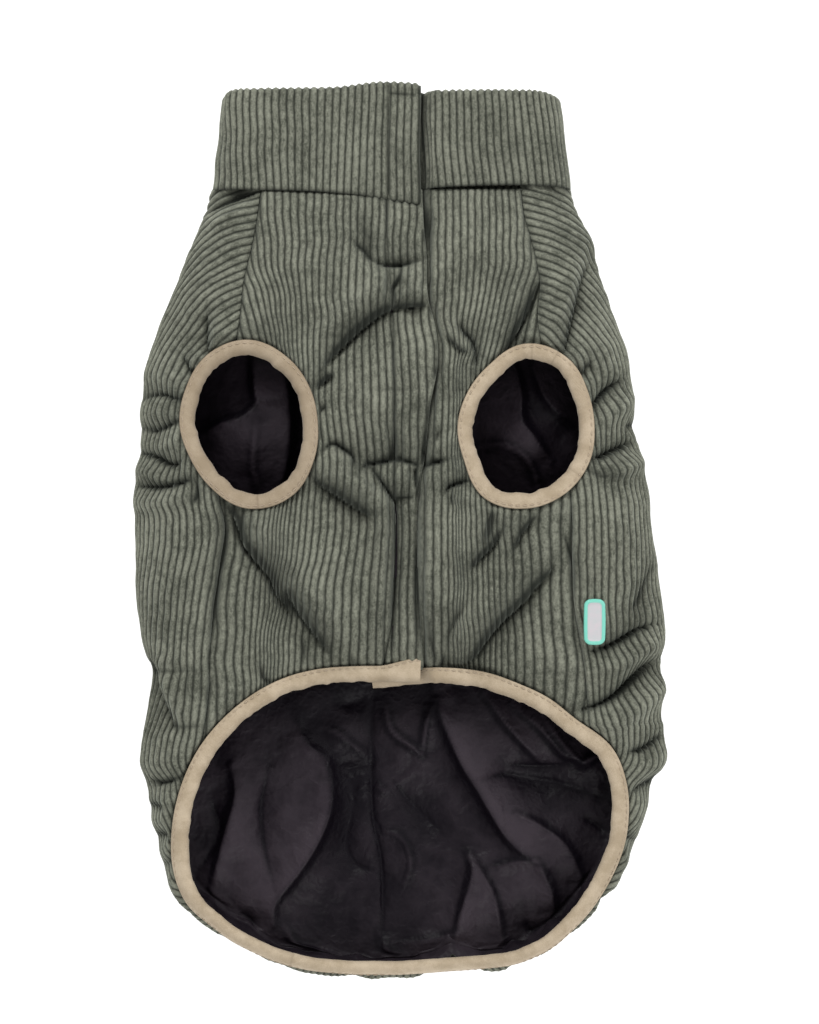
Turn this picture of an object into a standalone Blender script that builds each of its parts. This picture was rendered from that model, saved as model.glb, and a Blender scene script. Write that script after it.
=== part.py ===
"""A padded corduroy winter coat for a medium dog, laid flat with its belly side up.

The coat is a soft tube that lies on its back. The back panel rests on the surface, rolls up at both sides
and at the tail, and meets two front panels that close over the belly with an overlapping band. A folded
collar closes the neck end, two leg holes sit on the side seams, and a tape binds the leg holes and the hem.

Frame: +Y runs from the tail to the neck, +X to the side of the under front, +Z up from the surface.
Every table is in millimetres. The scene is in metres.
"""

import math

import bmesh
import bpy
import numpy as np

MM = 0.001

# Driving sizes of the cloth.
WALL = 5.0  # padded corduroy
DEEPEST_FOLD = 3.6
FOLD_SHARPNESS = 1.4  # 2 is a round trough, 1 comes to a crease
PUFF = 0.3  # how far the padding swells beside a fold, as a share of its depth
PUFF_PLACE = 1.9  # how far from the fold it swells, as a share of the fold's reach
FRONT_FULLNESS = 0.8  # below 1 the front's crown is fuller near the side seams
LINING = 1.0
SEAM_GAP = 0.3
TAPE_GAP = 0.5  # between a panel's edge and its tape
LINING_GAP = 0.6
ROUND = 0.5523  # handle of a cubic curve that makes a quarter circle
WAIST = 0.45  # height of the outline in the side's roll, as a share of the seam's height
FOOT = 0.95  # how far in the roll meets the floor, as a share of the waist's height
LEAST_FOOT = 11.0
MOST_FOOT = 18.0
SIDE_FOLDS = (0.15, 1.0)  # shares of the waist's height between which the side's folds fade in
TAPE_WIDTH = 7.0
TAPE_THICKNESS = 5.2
TAPE_CORNER = 1.1
LEG_TAPE_DIP = 10.0  # degrees by which a leg hole's tape turns down into the hole
LEG_CUT = (16.0, 70.0)  # heights between which the leg holes are cut, clear of the floor
FLAP_STEP = WALL + 0.6  # how far the under front lies below the over front
FLAP_REACH = 23.0  # how far the under front goes on under the over front
FLAP_EASE = 9.0  # the stretch in which it comes back up to the surface
FLAP_DROOP = 3.5  # how much further its hem hangs out towards the tail
NECK_Y = 156.5
TAIL_CENTRE_Y = -98.0  # the centre of the tail's sections
TAIL_BEARINGS = (180.0, 363.9)  # where the side seams reach the hem, as seen from that centre

# Sections across the body from the neck to the end of the side seams.
BODY_SECTIONS = np.array([
    # y, left outline, right outline, left seam, right seam, height at the seams, crown of the front
    (-98.0, -119.4, 122.3, -91.0, 87.4, 36.0, -12.0),
    (-80.0, -117.4, 120.9, -88.3, 85.6, 39.0, -11.0),
    (-66.0, -116.4, 121.3, -87.3, 84.2, 41.0, -11.0),
    (-52.0, -118.9, 122.1, -86.7, 82.0, 43.0, -7.0),
    (-34.0, -121.2, 120.8, -85.2, 79.2, 45.0, -2.0),
    (-15.0, -122.1, 118.5, -83.0, 78.6, 47.0, 0.0),
    (3.0, -123.0, 115.3, -80.9, 78.3, 48.0, 2.0),
    (20.0, -123.0, 113.4, -83.0, 77.0, 49.0, 3.0),
    (40.0, -120.4, 109.4, -82.0, 74.0, 50.0, 3.0),
    (58.0, -119.6, 107.2, -80.0, 70.0, 49.5, 3.0),
    (77.0, -115.4, 105.8, -76.5, 66.0, 48.5, 3.0),
    (95.0, -112.0, 99.6, -73.4, 63.0, 46.5, 2.5),
    (114.0, -104.6, 94.4, -71.5, 63.4, 42.5, 2.0),
    (132.0, -96.6, 88.2, -67.5, 60.0, 37.5, 1.5),
    (145.0, -90.6, 82.2, -65.4, 56.6, 33.5, 1.0),
    (157.0, -87.6, 79.4, -64.0, 55.4, 30.0, 0.0),
]).T
BODY_COLUMNS = ("y", "left", "right", "seam_left", "seam_right", "height", "crown")

# The outline of the tail, on rays from its centre.
TAIL_OUTLINE = np.array([
    # bearing, reach
    (180.0, 119.4),
    (185.0, 120.2),
    (191.0, 119.4),
    (198.0, 121.1),
    (207.0, 123.8),
    (212.0, 125.6),
    (217.0, 124.6),
    (224.0, 121.4),
    (232.0, 119.4),
    (240.0, 117.8),
    (248.0, 113.2),
    (256.0, 110.6),
    (265.0, 108.9),
    (274.0, 108.0),
    (282.0, 108.4),
    (290.0, 112.0),
    (298.0, 116.4),
    (306.0, 118.6),
    (314.0, 117.4),
    (322.0, 117.6),
    (331.0, 118.2),
    (341.0, 118.6),
    (350.0, 118.4),
    (356.0, 121.6),
    (364.0, 122.0),
]).T

# The middle line of the hem tape round the tail, with the height and the lean of the edge that it binds.
TAIL_HEM = np.array([
    # x, y, height, lean in degrees
    (-78.4, -89.0, 37.0, 0.0),
    (-89.0, -101.9, 36.0, 0.0),
    (-96.4, -117.5, 34.5, 7.0),
    (-100.5, -134.5, 32.5, 14.0),
    (-101.0, -152.5, 30.0, 24.0),
    (-95.4, -169.5, 27.0, 42.0),
    (-82.1, -182.4, 24.0, 56.0),
    (-67.4, -191.6, 22.0, 60.0),
    (-53.1, -197.6, 20.5, 60.0),
    (-37.5, -200.8, 19.0, 62.0),
    (-18.0, -202.6, 18.0, 62.0),
    (0.7, -202.2, 17.5, 60.0),
    (20.0, -200.9, 18.0, 62.0),
    (38.4, -199.6, 19.0, 62.0),
    (53.6, -197.0, 20.5, 60.0),
    (67.4, -190.7, 22.5, 57.0),
    (78.4, -180.2, 24.5, 50.0),
    (88.1, -167.7, 27.0, 38.0),
    (96.4, -151.6, 30.0, 24.0),
    (100.4, -134.5, 32.5, 14.0),
    (99.8, -117.1, 34.5, 7.0),
    (93.2, -101.2, 36.0, 0.0),
    (78.0, -89.9, 37.0, 0.0),
]).T

# The middle line of the hem tape across the front.
FRONT_HEM = np.array([
    # x, y
    (-96.4, -117.5),
    (-89.0, -101.9),
    (-78.4, -89.0),
    (-65.6, -78.6),
    (-51.8, -71.5),
    (-37.5, -67.8),
    (-24.2, -66.6),
    (-9.0, -66.4),
    (10.0, -67.0),
    (25.0, -67.4),
    (38.4, -69.2),
    (50.8, -73.4),
    (65.6, -80.2),
    (78.0, -89.9),
    (93.2, -101.2),
    (99.8, -117.1),
]).T

# The band that closes the front: where it is sewn on, and its free edge.
CLOSING_BAND = np.array([
    # y, seam x, free edge x
    (-64.0, -8.4, 9.4),
    (-55.0, -6.6, 8.5),
    (-42.0, -4.4, 7.9),
    (-20.0, -3.2, 7.3),
    (14.0, -3.0, 7.1),
    (32.0, -3.0, 9.8),
    (58.0, -3.0, 12.6),
    (74.0, -3.0, 15.6),
    (92.0, -3.0, 14.8),
    (106.0, -4.4, 12.7),
    (125.0, -5.4, 12.6),
    (157.0, -6.6, 12.0),
]).T

# Leg holes: the tape's middle line, as distances from the hole's centre at even bearings from +X.
LEG_HOLES = {
    "left": ((-69.2, 48.1), (28.1, 28.8, 31.5, 34.7, 33.1, 29.3, 27.8, 27.1, 29.9, 34.9, 34.7, 30.6)),
    "right": ((57.3, 46.7), (27.4, 28.7, 33.0, 34.3, 29.4, 27.5, 27.8, 28.8, 34.0, 33.4, 31.4, 29.2)),
}

# The largest folds, as troughs along a path.
FOLDS = [
    # path of (x, y), depth, reach to each side
    (((12.7, 104), (-7.1, 99.8), (-17.7, 92), (-27.8, 81.4), (-41, 65)), 6.0, 8.0),
    (((-13, 120), (2, 122), (12, 124)), 3.0, 6.0),
    (((-21, 26), (-13, 30.5), (6.7, 30.8), (20.5, 32.7)), 3.5, 6.0),
    (((-42, 29), (-36, 20.2), (-25.5, 11.5), (-14, 6)), 4.5, 7.0),
    (((-76, 9), (-69.7, -4.6), (-63.7, -16.1), (-56.4, -29.9), (-49, -40)), 5.0, 8.0),
    (((-54, -24), (-44.9, -38.6), (-38, -50.1), (-30, -62)), 4.5, 7.0),
    (((22, 96), (29.2, 88.8), (33.8, 81.4), (36, 66)), 3.0, 6.0),
    (((18, 18), (24, 21.8), (36, 24.5)), 3.0, 6.0),
    (((28, -25), (39.8, -10.6), (52, 2)), 2.5, 8.0),
    (((23, -64), (40.7, -49.2), (59.1, -29.9), (66.2, -21.2), (72, -8)), 5.0, 8.0),
    (((80, -58), (95.9, -52.9), (109.3, -46), (124, -40)), 4.0, 7.0),
    (((78, -82), (94.5, -78.2), (109.3, -69.5), (126, -57)), 4.5, 7.0),
    (((97, -104), (109.3, -101.2), (124, -98)), 3.0, 7.0),
    (((91, 130), (87.8, 119.1), (82.1, 100.4), (72, 76)), 3.5, 7.0),
    (((104, 70), (95.2, 62.6), (89, 50)), 3.5, 6.0),
    (((85, 31), (98, 35.9), (112, 47)), 3.5, 7.0),
    (((-89.5, 98), (-89.5, 88.8), (-86, 78)), 3.5, 6.0),
    (((-126, 23), (-108, 20), (-94, 20)), 3.0, 7.0),
    (((-92, 146), (-80, 148.5), (-62, 156)), 2.5, 6.0),
    (((-120, -64), (-113, -74), (-105, -88), (-96, -91)), 3.5, 7.0),
    (((-122, -120), (-110, -115.5), (-99, -114)), 3.0, 7.0),
]

# Collar sections, from the neck seam to its folded top.
COLLAR_SECTIONS = np.array([
    # y, left outline, right outline, height, rounding of the edge
    (157.0, -87.2, 79.0, 30.0, 0.0),
    (170.0, -85.8, 77.4, 30.0, 0.0),
    (184.0, -84.0, 75.6, 29.5, 0.0),
    (196.0, -82.2, 73.9, 29.0, 0.2),
    (203.0, -81.0, 72.8, 28.4, 1.0),
    (206.4, -79.4, 71.4, 27.4, 2.4),
]).T
COLLAR_WALL = 7.0
COLLAR_OVER_END = 11.8
COLLAR_UNDER_END = -10.0
COLLAR_STEP = COLLAR_WALL + 0.8  # how far the under end lies below the over end
COLLAR_EASE = (1.0, 12.0)  # from the over end, where the under end starts and stops coming up

# A plain rubber tab, sewn into the right side seam.
TAB_CENTRE = (90.5, -42.0)
TAB_SIZE = (10.0, 21.0)
TAB_THICKNESS = 1.6
TAB_CORNER = 4.0
TAB_GAP = 0.4
TAB_CALM = (0.8, 1.4)  # in the tab's own sizes from its centre, where the folds fade back in

# Fineness of the solids.
BODY_ROWS = 26
FRONT_COLUMNS = 12
FLAP_COLUMNS = 6
BAND_COLUMNS = 3
TAIL_RAYS = 13  # on each side of the middle
ROLL_STEPS = (6, 4, 2)  # over the roll, under it, and along the floor
LINING_STEPS = (6, 4, 1)
TAPE_STEP = 7.0
HEM_POINTS = (24, 28)  # across the over front and across the under front
COLLAR_POINTS = (9, 5, 8)  # over the top, round each side, and along the floor
TAB_ROWS = 8
TAB_COLUMNS = 5
LEG_POINTS = 40


def spline(knots, values, at):
    """A smooth curve through the values at the knots, read at the given places."""
    knots, values = np.asarray(knots, float), np.asarray(values, float)
    slope = np.gradient(values, knots)
    at = np.clip(np.asarray(at, float), knots[0], knots[-1])
    i = np.clip(np.searchsorted(knots, at, side="right") - 1, 0, len(knots) - 2)
    width = knots[i + 1] - knots[i]
    t = (at - knots[i]) / width
    rise = 3 * t**2 - 2 * t**3
    start, end = (t**3 - 2 * t**2 + t) * width, (t**3 - t**2) * width
    return (1 - rise) * values[i] + rise * values[i + 1] + start * slope[i] + end * slope[i + 1]


def smooth_step(low, high, at):
    t = np.clip((at - low) / (high - low), 0, 1)
    return t * t * (3 - 2 * t)


def body(column, y):
    return spline(BODY_SECTIONS[0], BODY_SECTIONS[BODY_COLUMNS.index(column)], y)


def offset_line(x, y, distance):
    """A line moved to its left as it is walked."""
    run = np.stack([np.gradient(x), np.gradient(y)])
    run /= np.linalg.norm(run, axis=0)
    return x - run[1] * distance, y + run[0] * distance


def front_edge_y(x):
    """The cloth's lower edge across the front, outside the tape that binds it."""
    at = np.linspace(0, 1, 200)
    knots = np.linspace(0, 1, FRONT_HEM.shape[1])
    tape_x, tape_y = (spline(knots, column, at) for column in FRONT_HEM)
    line_x, line_y = offset_line(tape_x, tape_y, TAPE_WIDTH / 2 + TAPE_GAP)
    return np.interp(x, line_x, line_y)


def tail_edge(bearing):
    """Reach, height and lean of the cloth's edge on a ray from the tail's centre."""
    at = np.linspace(0, 1, 400)
    knots = np.linspace(0, 1, TAIL_HEM.shape[1])
    x, y, height, lean = (spline(knots, column, at) for column in TAIL_HEM)
    lean = np.radians(lean)
    outset = (TAPE_WIDTH / 2 + TAPE_GAP) * np.cos(lean) + WALL / 2 * np.sin(lean)
    x, y = offset_line(x, y, -outset)
    place = np.unwrap(np.arctan2(y - TAIL_CENTRE_Y, x))
    place += 2 * math.pi * (place[0] < 0)
    reach = np.hypot(x, y - TAIL_CENTRE_Y)
    return tuple(np.interp(math.radians(bearing), place, column) for column in (reach, height, lean))


def spaced(points, step):
    """The same line with points at an even step."""
    points = np.asarray(points, float)
    along = np.concatenate([[0], np.cumsum(np.linalg.norm(np.diff(points, axis=0), axis=1))])
    at = np.linspace(0, along[-1], max(2, round(along[-1] / step) + 1))
    return np.stack([np.interp(at, along, column) for column in points.T], axis=1)


def path_through(points, per_span=4):
    """A smooth line through a few points."""
    points = np.asarray(points, float)
    knots = np.arange(len(points))
    at = np.linspace(0, len(points) - 1, per_span * (len(points) - 1) + 1)
    return np.stack([spline(knots, column, at) for column in points.T], axis=1)


def fold_height(x, y):
    """How far the folds push the cloth in, or out beside them, at a place seen from above.

    The tab holds the cloth flat."""
    place = np.stack([x, y], axis=-1)
    total = np.zeros(np.shape(x))
    for path, depth, reach in FOLDS:
        line = path_through(path)
        nearest = np.full(total.shape, 1e9)
        share = np.zeros(total.shape)
        for k, (a, b) in enumerate(zip(line[:-1], line[1:])):
            along = np.clip((place - a) @ (b - a) / ((b - a) @ (b - a)), 0, 1)
            away = np.linalg.norm(place - a - along[..., None] * (b - a), axis=-1)
            share = np.where(away < nearest, (k + along) / (len(line) - 1), share)
            nearest = np.minimum(away, nearest)
        trough = np.exp(-((nearest / reach) ** FOLD_SHARPNESS))
        puff = PUFF * np.exp(-((nearest / reach - PUFF_PLACE) ** 2))
        total += depth * np.sqrt(np.sin(np.pi * share)) * (puff - trough)
    reach = np.hypot((x - TAB_CENTRE[0]) / TAB_SIZE[0], (y - TAB_CENTRE[1]) / TAB_SIZE[1])
    return np.maximum(total, -DEEPEST_FOLD) * smooth_step(*TAB_CALM, reach)


def front_height(x, y):
    """Height of the outside of the front over the surface, without its folds."""
    left, right = body("seam_left", y), body("seam_right", y)
    across = np.clip((x - left) / (right - left), 0, 1)
    return body("height", y) + body("crown", y) * np.sin(np.pi * across) ** FRONT_FULLNESS


def sheet_solid(name, outer, inner, faces, material):
    """A closed wall between an outer and an inner skin that share their faces."""
    _, first, index = np.unique(np.round(outer, 4), axis=0, return_index=True, return_inverse=True)
    index = index.reshape(-1)
    count = len(first)
    skin = []
    for face in faces:
        corners = [int(c) for c in index[list(face)]]
        corners = [c for k, c in enumerate(corners) if c != corners[k - 1]]
        if len(corners) > 2:
            skin.append(corners)
    uses = {}
    for face in skin:
        for a, b in zip(face, face[1:] + face[:1]):
            uses[a, b] = True
    rim = [(b, a, a + count, b + count) for a, b in uses if (b, a) not in uses]
    back = [[c + count for c in reversed(face)] for face in skin]
    mesh = bpy.data.meshes.new(name)
    points = np.concatenate([outer[first], inner[first]]) * MM
    mesh.from_pydata(points.tolist(), [], skin + back + rim)
    outside_out(mesh)
    mesh.shade_smooth()
    mesh.materials.append(material)
    obj = bpy.data.objects.new(name, mesh)
    COAT.objects.link(obj)
    return obj


def outside_out(mesh):
    """Turn all faces of a closed mesh outward."""
    work = bmesh.new()
    work.from_mesh(mesh)
    bmesh.ops.recalc_face_normals(work, faces=work.faces)
    if work.calc_volume(signed=True) < 0:
        bmesh.ops.reverse_faces(work, faces=work.faces)
    work.to_mesh(mesh)
    work.free()


def grid_faces(rows, columns):
    """Faces of a grid of points held row by row."""
    return [
        (i * columns + j, i * columns + j + 1, (i + 1) * columns + j + 1, (i + 1) * columns + j)
        for i in range(rows - 1)
        for j in range(columns - 1)
    ]


def coons(left, right, top, bottom):
    """A grid of points between four lines. Left and right run down, top and bottom run from left to right."""
    s = np.linspace(0, 1, len(top))[None, :, None]
    t = np.linspace(0, 1, len(left))[:, None, None]
    sides = (1 - s) * left[:, None] + s * right[:, None]
    ends = (1 - t) * top[None] + t * bottom[None]
    corners = (1 - t) * ((1 - s) * top[0] + s * top[-1]) + t * ((1 - s) * bottom[0] + s * bottom[-1])
    return sides + ends - corners


def row_heights():
    return np.linspace(NECK_Y, TAIL_CENTRE_Y, BODY_ROWS + 1)


def falling_line(x_of_y, bottom_y):
    """A line of the front from the neck down to the hem, with one point for each row."""
    y = NECK_Y + (bottom_y - NECK_Y) * np.linspace(0, 1, BODY_ROWS + 1)
    return np.stack([x_of_y(y), y], axis=1)


def front_patch(inner_line, seam_line, columns):
    """A grid of places on the front between a line near the middle and a side seam."""
    share = np.linspace(0, 1, columns + 1)
    top = inner_line[0] + (seam_line[0] - inner_line[0]) * share[:, None]
    x = inner_line[-1, 0] + (seam_line[-1, 0] - inner_line[-1, 0]) * share
    bottom = np.stack([x, front_edge_y(x)], axis=1)
    bottom[0], bottom[-1] = inner_line[-1], seam_line[-1]
    return coons(inner_line, seam_line, top, bottom)


def band_line(column, shift=0.0):
    return lambda y: spline(CLOSING_BAND[0], CLOSING_BAND[column], y) + shift


def seam_line(side, shift):
    """The side seam as the edge of the front panel on that side."""
    y = row_heights()
    x = body("seam_" + side, y) + shift
    line = np.stack([x, y], axis=1)
    line[-1, 1] = front_edge_y(x[-1])
    return line


def front_wall(name, places, drop, material):
    """A padded wall whose outside follows the front's height, lowered by drop."""
    x, y = places[..., 0].ravel(), places[..., 1].ravel()
    plain = np.stack([x, y, front_height(x, y) - drop.ravel()], axis=1)
    folds = fold_height(x, y) * (1 - np.clip(drop.ravel() / FLAP_STEP, 0, 1))
    outer = plain + np.outer(folds, (0, 0, 1))
    inner = plain - np.array([0, 0, WALL])
    return sheet_solid(name, outer, inner, grid_faces(*places.shape[:2]), material)


def flap_drop(x, y):
    """How far the under front lies below the surface, beneath the closing band."""
    past = x - spline(CLOSING_BAND[0], CLOSING_BAND[2], y)
    return FLAP_STEP * (1 - smooth_step(1.0, FLAP_EASE, past))


def under_edge_y(x):
    """The under front's lower edge, which hangs out a little beneath the over front."""
    clear = CLOSING_BAND[2, 0] + FLAP_EASE
    return front_edge_y(x) - FLAP_DROOP * np.clip((clear - x) / (FLAP_EASE + FLAP_REACH), 0, 1)


def make_fronts(material):
    """The over front and its closing band, and the under front that goes on beneath them."""
    half = SEAM_GAP / 2
    over_seam = falling_line(band_line(1, -half), front_edge_y(CLOSING_BAND[1, 0]))
    over = front_patch(over_seam, seam_line("left", half), FRONT_COLUMNS)
    front_over = front_wall("front_over", over, np.zeros(over.shape[:2]), material)

    band_seam = falling_line(band_line(1, half), front_edge_y(CLOSING_BAND[1, 0]))
    band_edge = falling_line(band_line(2), front_edge_y(CLOSING_BAND[2, 0]))
    share = np.linspace(0, 1, BAND_COLUMNS + 1)[None, :, None]
    band = band_seam[:, None] * (1 - share) + band_edge[:, None] * share
    front_wall("closing_band", band, np.zeros(band.shape[:2]), material)

    flap = []
    for offset in np.linspace(-FLAP_REACH, FLAP_EASE, FLAP_COLUMNS + 1):
        flap.append(falling_line(band_line(2, offset), under_edge_y(CLOSING_BAND[2, 0] + offset)))
    rest = front_patch(flap[-1], seam_line("right", -half), FRONT_COLUMNS - 1)
    under = np.concatenate([np.stack(flap[:-1], axis=1), rest], axis=1)
    front_under = front_wall("front_under", under, flap_drop(under[..., 0], under[..., 1]), material)
    return front_over, front_under


def bezier(points, count):
    t = np.linspace(0, 1, count + 1)[:, None]
    a, b, c, d = (np.asarray(p, float) for p in points)
    return (1 - t) ** 3 * a + 3 * (1 - t) ** 2 * t * b + 3 * (1 - t) * t**2 * c + t**3 * d


def roll_profile(outline, edge, height, lean, steps):
    """Outside of one section of the back as (reach, height), with its waist's height.

    It goes from the section's edge over the roll and under to the middle."""
    over, under, floor = steps
    waist = height * WAIST
    foot = outline - np.clip(waist * FOOT, LEAST_FOOT, MOST_FOOT)
    start, side, end = np.array([edge, height]), np.array([outline, waist]), np.array([foot, 0.0])
    pull = ROUND * math.hypot((outline - edge) * math.cos(lean), (height - waist) * math.sin(lean))
    from_edge = start + pull * np.array([math.cos(lean), -math.sin(lean)])
    top = bezier([start, from_edge, side + (0, ROUND * (height - waist)), side], over)
    low = bezier([side, side - (0, ROUND * waist), end + (ROUND * (outline - foot), 0), end], under)
    flat = np.stack([np.linspace(foot, 0, floor + 1), np.zeros(floor + 1)], axis=1)
    return np.concatenate([top, low[1:], flat[1:]]), waist


def outward(profile, lean):
    """Unit normals of a section, pointing out of the coat."""
    run = np.gradient(profile, axis=0)
    run[0] = (math.cos(lean), -math.sin(lean))
    run[-1] = (-1, 0)
    run[np.abs(profile[:, 1]) < 1e-9] = (-1, 0)
    run /= np.linalg.norm(run, axis=1)[:, None]
    return np.stack([-run[:, 1], run[:, 0]], axis=1)


def back_stations():
    """Sections of the back as (origin, direction, outline, edge, height, lean).

    They go from the left of the neck round the tail to the right of the neck."""
    rows = {}
    for side, sign in (("left", -1), ("right", 1)):
        rows[side] = []
        for y in row_heights()[:-1]:
            outline, edge = sign * body(side, y), sign * body("seam_" + side, y) + SEAM_GAP / 2
            rows[side].append(((0.0, y), (sign, 0.0), outline, edge, body("height", y), 0.0))
    rays = []
    first, last = TAIL_BEARINGS
    left_bearings = np.linspace(first, 270, TAIL_RAYS + 1)
    right_bearings = np.linspace(270, last, TAIL_RAYS + 1)[1:]
    for bearing in (*left_bearings, *right_bearings):
        turn = math.radians(bearing)
        reach, height, lean = tail_edge(bearing)
        outline = spline(TAIL_OUTLINE[0], TAIL_OUTLINE[1], bearing)
        rays.append(((0.0, TAIL_CENTRE_Y), (math.cos(turn), math.sin(turn)), outline, reach, height, lean))
    return rows["left"] + rays + rows["right"][::-1]


def back_skin(stations, steps, depth, folded=False):
    """Points of the back at a depth under its outside, one row for each station."""
    rows = []
    for origin, direction, outline, edge, height, lean in stations:
        profile, waist = roll_profile(outline, edge, height, lean, steps)
        normal = outward(profile, lean)
        place = np.asarray(origin) + np.outer(profile[:, 0], direction)
        fade = smooth_step(SIDE_FOLDS[0] * waist, SIDE_FOLDS[1] * waist, profile[:, 1])
        fold = fold_height(place[:, 0], place[:, 1]) * fade * folded
        moved = profile + normal * (fold - depth)[:, None]
        place = np.asarray(origin) + np.outer(moved[:, 0], direction)
        rows.append(np.column_stack([place, moved[:, 1]]))
    return np.array(rows)


def make_back(material):
    """The back panel, from the left side seam under the coat to the right one, with its rolled tail."""
    stations = back_stations()
    outer = back_skin(stations, ROLL_STEPS, 0.0, folded=True)
    inner = back_skin(stations, ROLL_STEPS, WALL)
    for skin in (outer, inner):
        skin[:, -1, 0] = 0.0
    faces = grid_faces(*outer.shape[:2])
    return sheet_solid("back", outer.reshape(-1, 3), inner.reshape(-1, 3), faces, material)


def make_linings(material):
    """The two halves of the back's lining, sewn to each other along the middle."""
    stations = back_stations()
    middle = len(stations) // 2
    top, bottom = WALL + LINING_GAP, WALL + LINING_GAP + LINING
    halves = {"left": (stations[: middle + 1], -1), "right": (stations[middle:], 1)}
    for side, (part, sign) in halves.items():
        shift = np.array([sign * SEAM_GAP / 2, 0.0, 0.0])
        outer = back_skin(part, LINING_STEPS, top) + shift
        inner = back_skin(part, LINING_STEPS, bottom) + shift
        faces = grid_faces(*outer.shape[:2])
        yield sheet_solid("lining_" + side, outer.reshape(-1, 3), inner.reshape(-1, 3), faces, material)


def hole_line(side, outset=0.0, count=LEG_POINTS):
    """The middle line of a leg hole's tape as (x, y), moved outward from the hole by outset."""
    centre, radii = LEG_HOLES[side]
    bearing = np.arange(-2, len(radii) + 3)  # two more at each end, so that the curve closes smoothly
    at = np.linspace(0, 2 * np.pi, count + 1)[:-1]
    radius = spline(bearing * 2 * np.pi / len(radii), np.array(radii)[bearing % len(radii)], at)
    line = np.stack([np.cos(at), np.sin(at)], axis=1) * radius[:, None] + centre
    run = np.roll(line, -1, axis=0) - np.roll(line, 1, axis=0)
    run /= np.linalg.norm(run, axis=1)[:, None]
    return line + outset * np.stack([run[:, 1], -run[:, 0]], axis=1)


def leg_cutters():
    """Upright plugs that cut the leg holes out of the panels, without reaching the back on the floor."""
    low, high = LEG_CUT
    cutters = []
    for side in LEG_HOLES:
        outset = TAPE_WIDTH / 2 + TAPE_GAP
        curve = bpy.data.curves.new("leg_cut_" + side, "CURVE")
        curve.dimensions = "2D"
        curve.fill_mode = "BOTH"
        curve.extrude = (high - low) / 2 * MM
        line = hole_line(side, outset)
        stroke = curve.splines.new("POLY")
        stroke.points.add(len(line) - 1)
        for point, (x, y) in zip(stroke.points, line):
            point.co = (x * MM, y * MM, 0.0, 1.0)
        stroke.use_cyclic_u = True
        shape = bpy.data.objects.new(curve.name, curve)
        bpy.context.scene.collection.objects.link(shape)
        shape.location.z = (high + low) / 2 * MM
        bpy.context.view_layer.update()
        evaluated = shape.evaluated_get(bpy.context.evaluated_depsgraph_get())
        cutter = bpy.data.objects.new(curve.name + "_mesh", bpy.data.meshes.new_from_object(evaluated))
        cutter.matrix_world = shape.matrix_world
        bpy.data.objects.remove(shape)
        work = bmesh.new()
        work.from_mesh(cutter.data)
        bmesh.ops.remove_doubles(work, verts=work.verts, dist=0.00001)
        work.to_mesh(cutter.data)
        work.free()
        cutter.hide_render = True
        cutter.display_type = "WIRE"
        CUTTERS.objects.link(cutter)
        cutters.append(cutter)
    return cutters


def cut(panel, cutters):
    for cutter in cutters:
        modifier = panel.modifiers.new(cutter.name, "BOOLEAN")
        modifier.operation = "DIFFERENCE"
        modifier.object = cutter


def tape_section():
    """Cross-section of a folded tape as (across, out), with rounded edges."""
    wide, thick = TAPE_WIDTH / 2, TAPE_THICKNESS / 2
    near, low = wide - TAPE_CORNER, thick - TAPE_CORNER
    below = [(-wide, -low), (-near, -thick), (near, -thick), (wide, -low)]
    return np.array(below + [(across, -out) for across, out in reversed(below)])


def tape(name, middle, across, out, closed, material):
    """A folded tape swept along its middle line. across and out are its two directions at each point."""
    section = tape_section()
    rings = middle[:, None] + section[None, :, :1] * across[:, None] + section[None, :, 1:] * out[:, None]
    count, sides = rings.shape[:2]
    last = count if closed else count - 1
    faces = []
    for i in range(last):
        here, there = i * sides, (i + 1) % count * sides
        for j in range(sides):
            k = (j + 1) % sides
            faces.append((here + j, here + k, there + k, there + j))
    if not closed:
        faces += [tuple(range(sides)), tuple(range(count * sides - 1, (count - 1) * sides - 1, -1))]
    mesh = bpy.data.meshes.new(name)
    mesh.from_pydata((rings.reshape(-1, 3) * MM).tolist(), [], faces)
    outside_out(mesh)
    mesh.shade_smooth()
    mesh.materials.append(material)
    obj = bpy.data.objects.new(name, mesh)
    COAT.objects.link(obj)
    return obj


def side_point(side, x, y, out):
    """A place on the outside of the back's side, moved out of the coat."""
    sign = -1 if side == "left" else 1
    outline, edge = sign * body(side, y), sign * body("seam_" + side, y)
    profile, _ = roll_profile(outline, edge, body("height", y), 0.0, ROLL_STEPS)
    normal = outward(profile, 0.0)
    roll = slice(0, ROLL_STEPS[0] + 1)
    columns = (normal[roll, 0], normal[roll, 1], profile[roll, 1])
    across, up, height = (np.interp(sign * x, profile[roll, 0], column) for column in columns)
    moved = out + float(fold_height(np.array(x), np.array(y)))
    return x + sign * across * moved, y, height + up * moved


def top_height(x, y):
    """Height of the coat's outside over the fronts or over the sides of the back."""
    if x < body("seam_left", y):
        return side_point("left", x, y, 0.0)[2]
    if x > body("seam_right", y):
        return side_point("right", x, y, 0.0)[2]
    return float(front_height(x, y))


def make_leg_tapes(material):
    """The tape round each leg hole. It turns slightly down towards the hole."""
    for side in LEG_HOLES:
        line = hole_line(side)
        rim = hole_line(side, TAPE_WIDTH / 2 + TAPE_GAP)
        z = np.array([top_height(x, y) for x, y in rim])
        z = (z + np.roll(z, 1) + np.roll(z, -1)) / 3
        dip = math.radians(LEG_TAPE_DIP)
        outer = (rim - line) / np.linalg.norm(rim - line, axis=1)[:, None]
        across = np.column_stack([outer * math.cos(dip), np.full(len(line), math.sin(dip))])
        out = np.column_stack([-outer * math.sin(dip), np.full(len(line), math.cos(dip))])
        middle = np.column_stack([line, z - WALL / 2 - (TAPE_WIDTH / 2) * math.sin(dip)])
        tape("leg_tape_" + side, middle, across, out, True, material)


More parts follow.
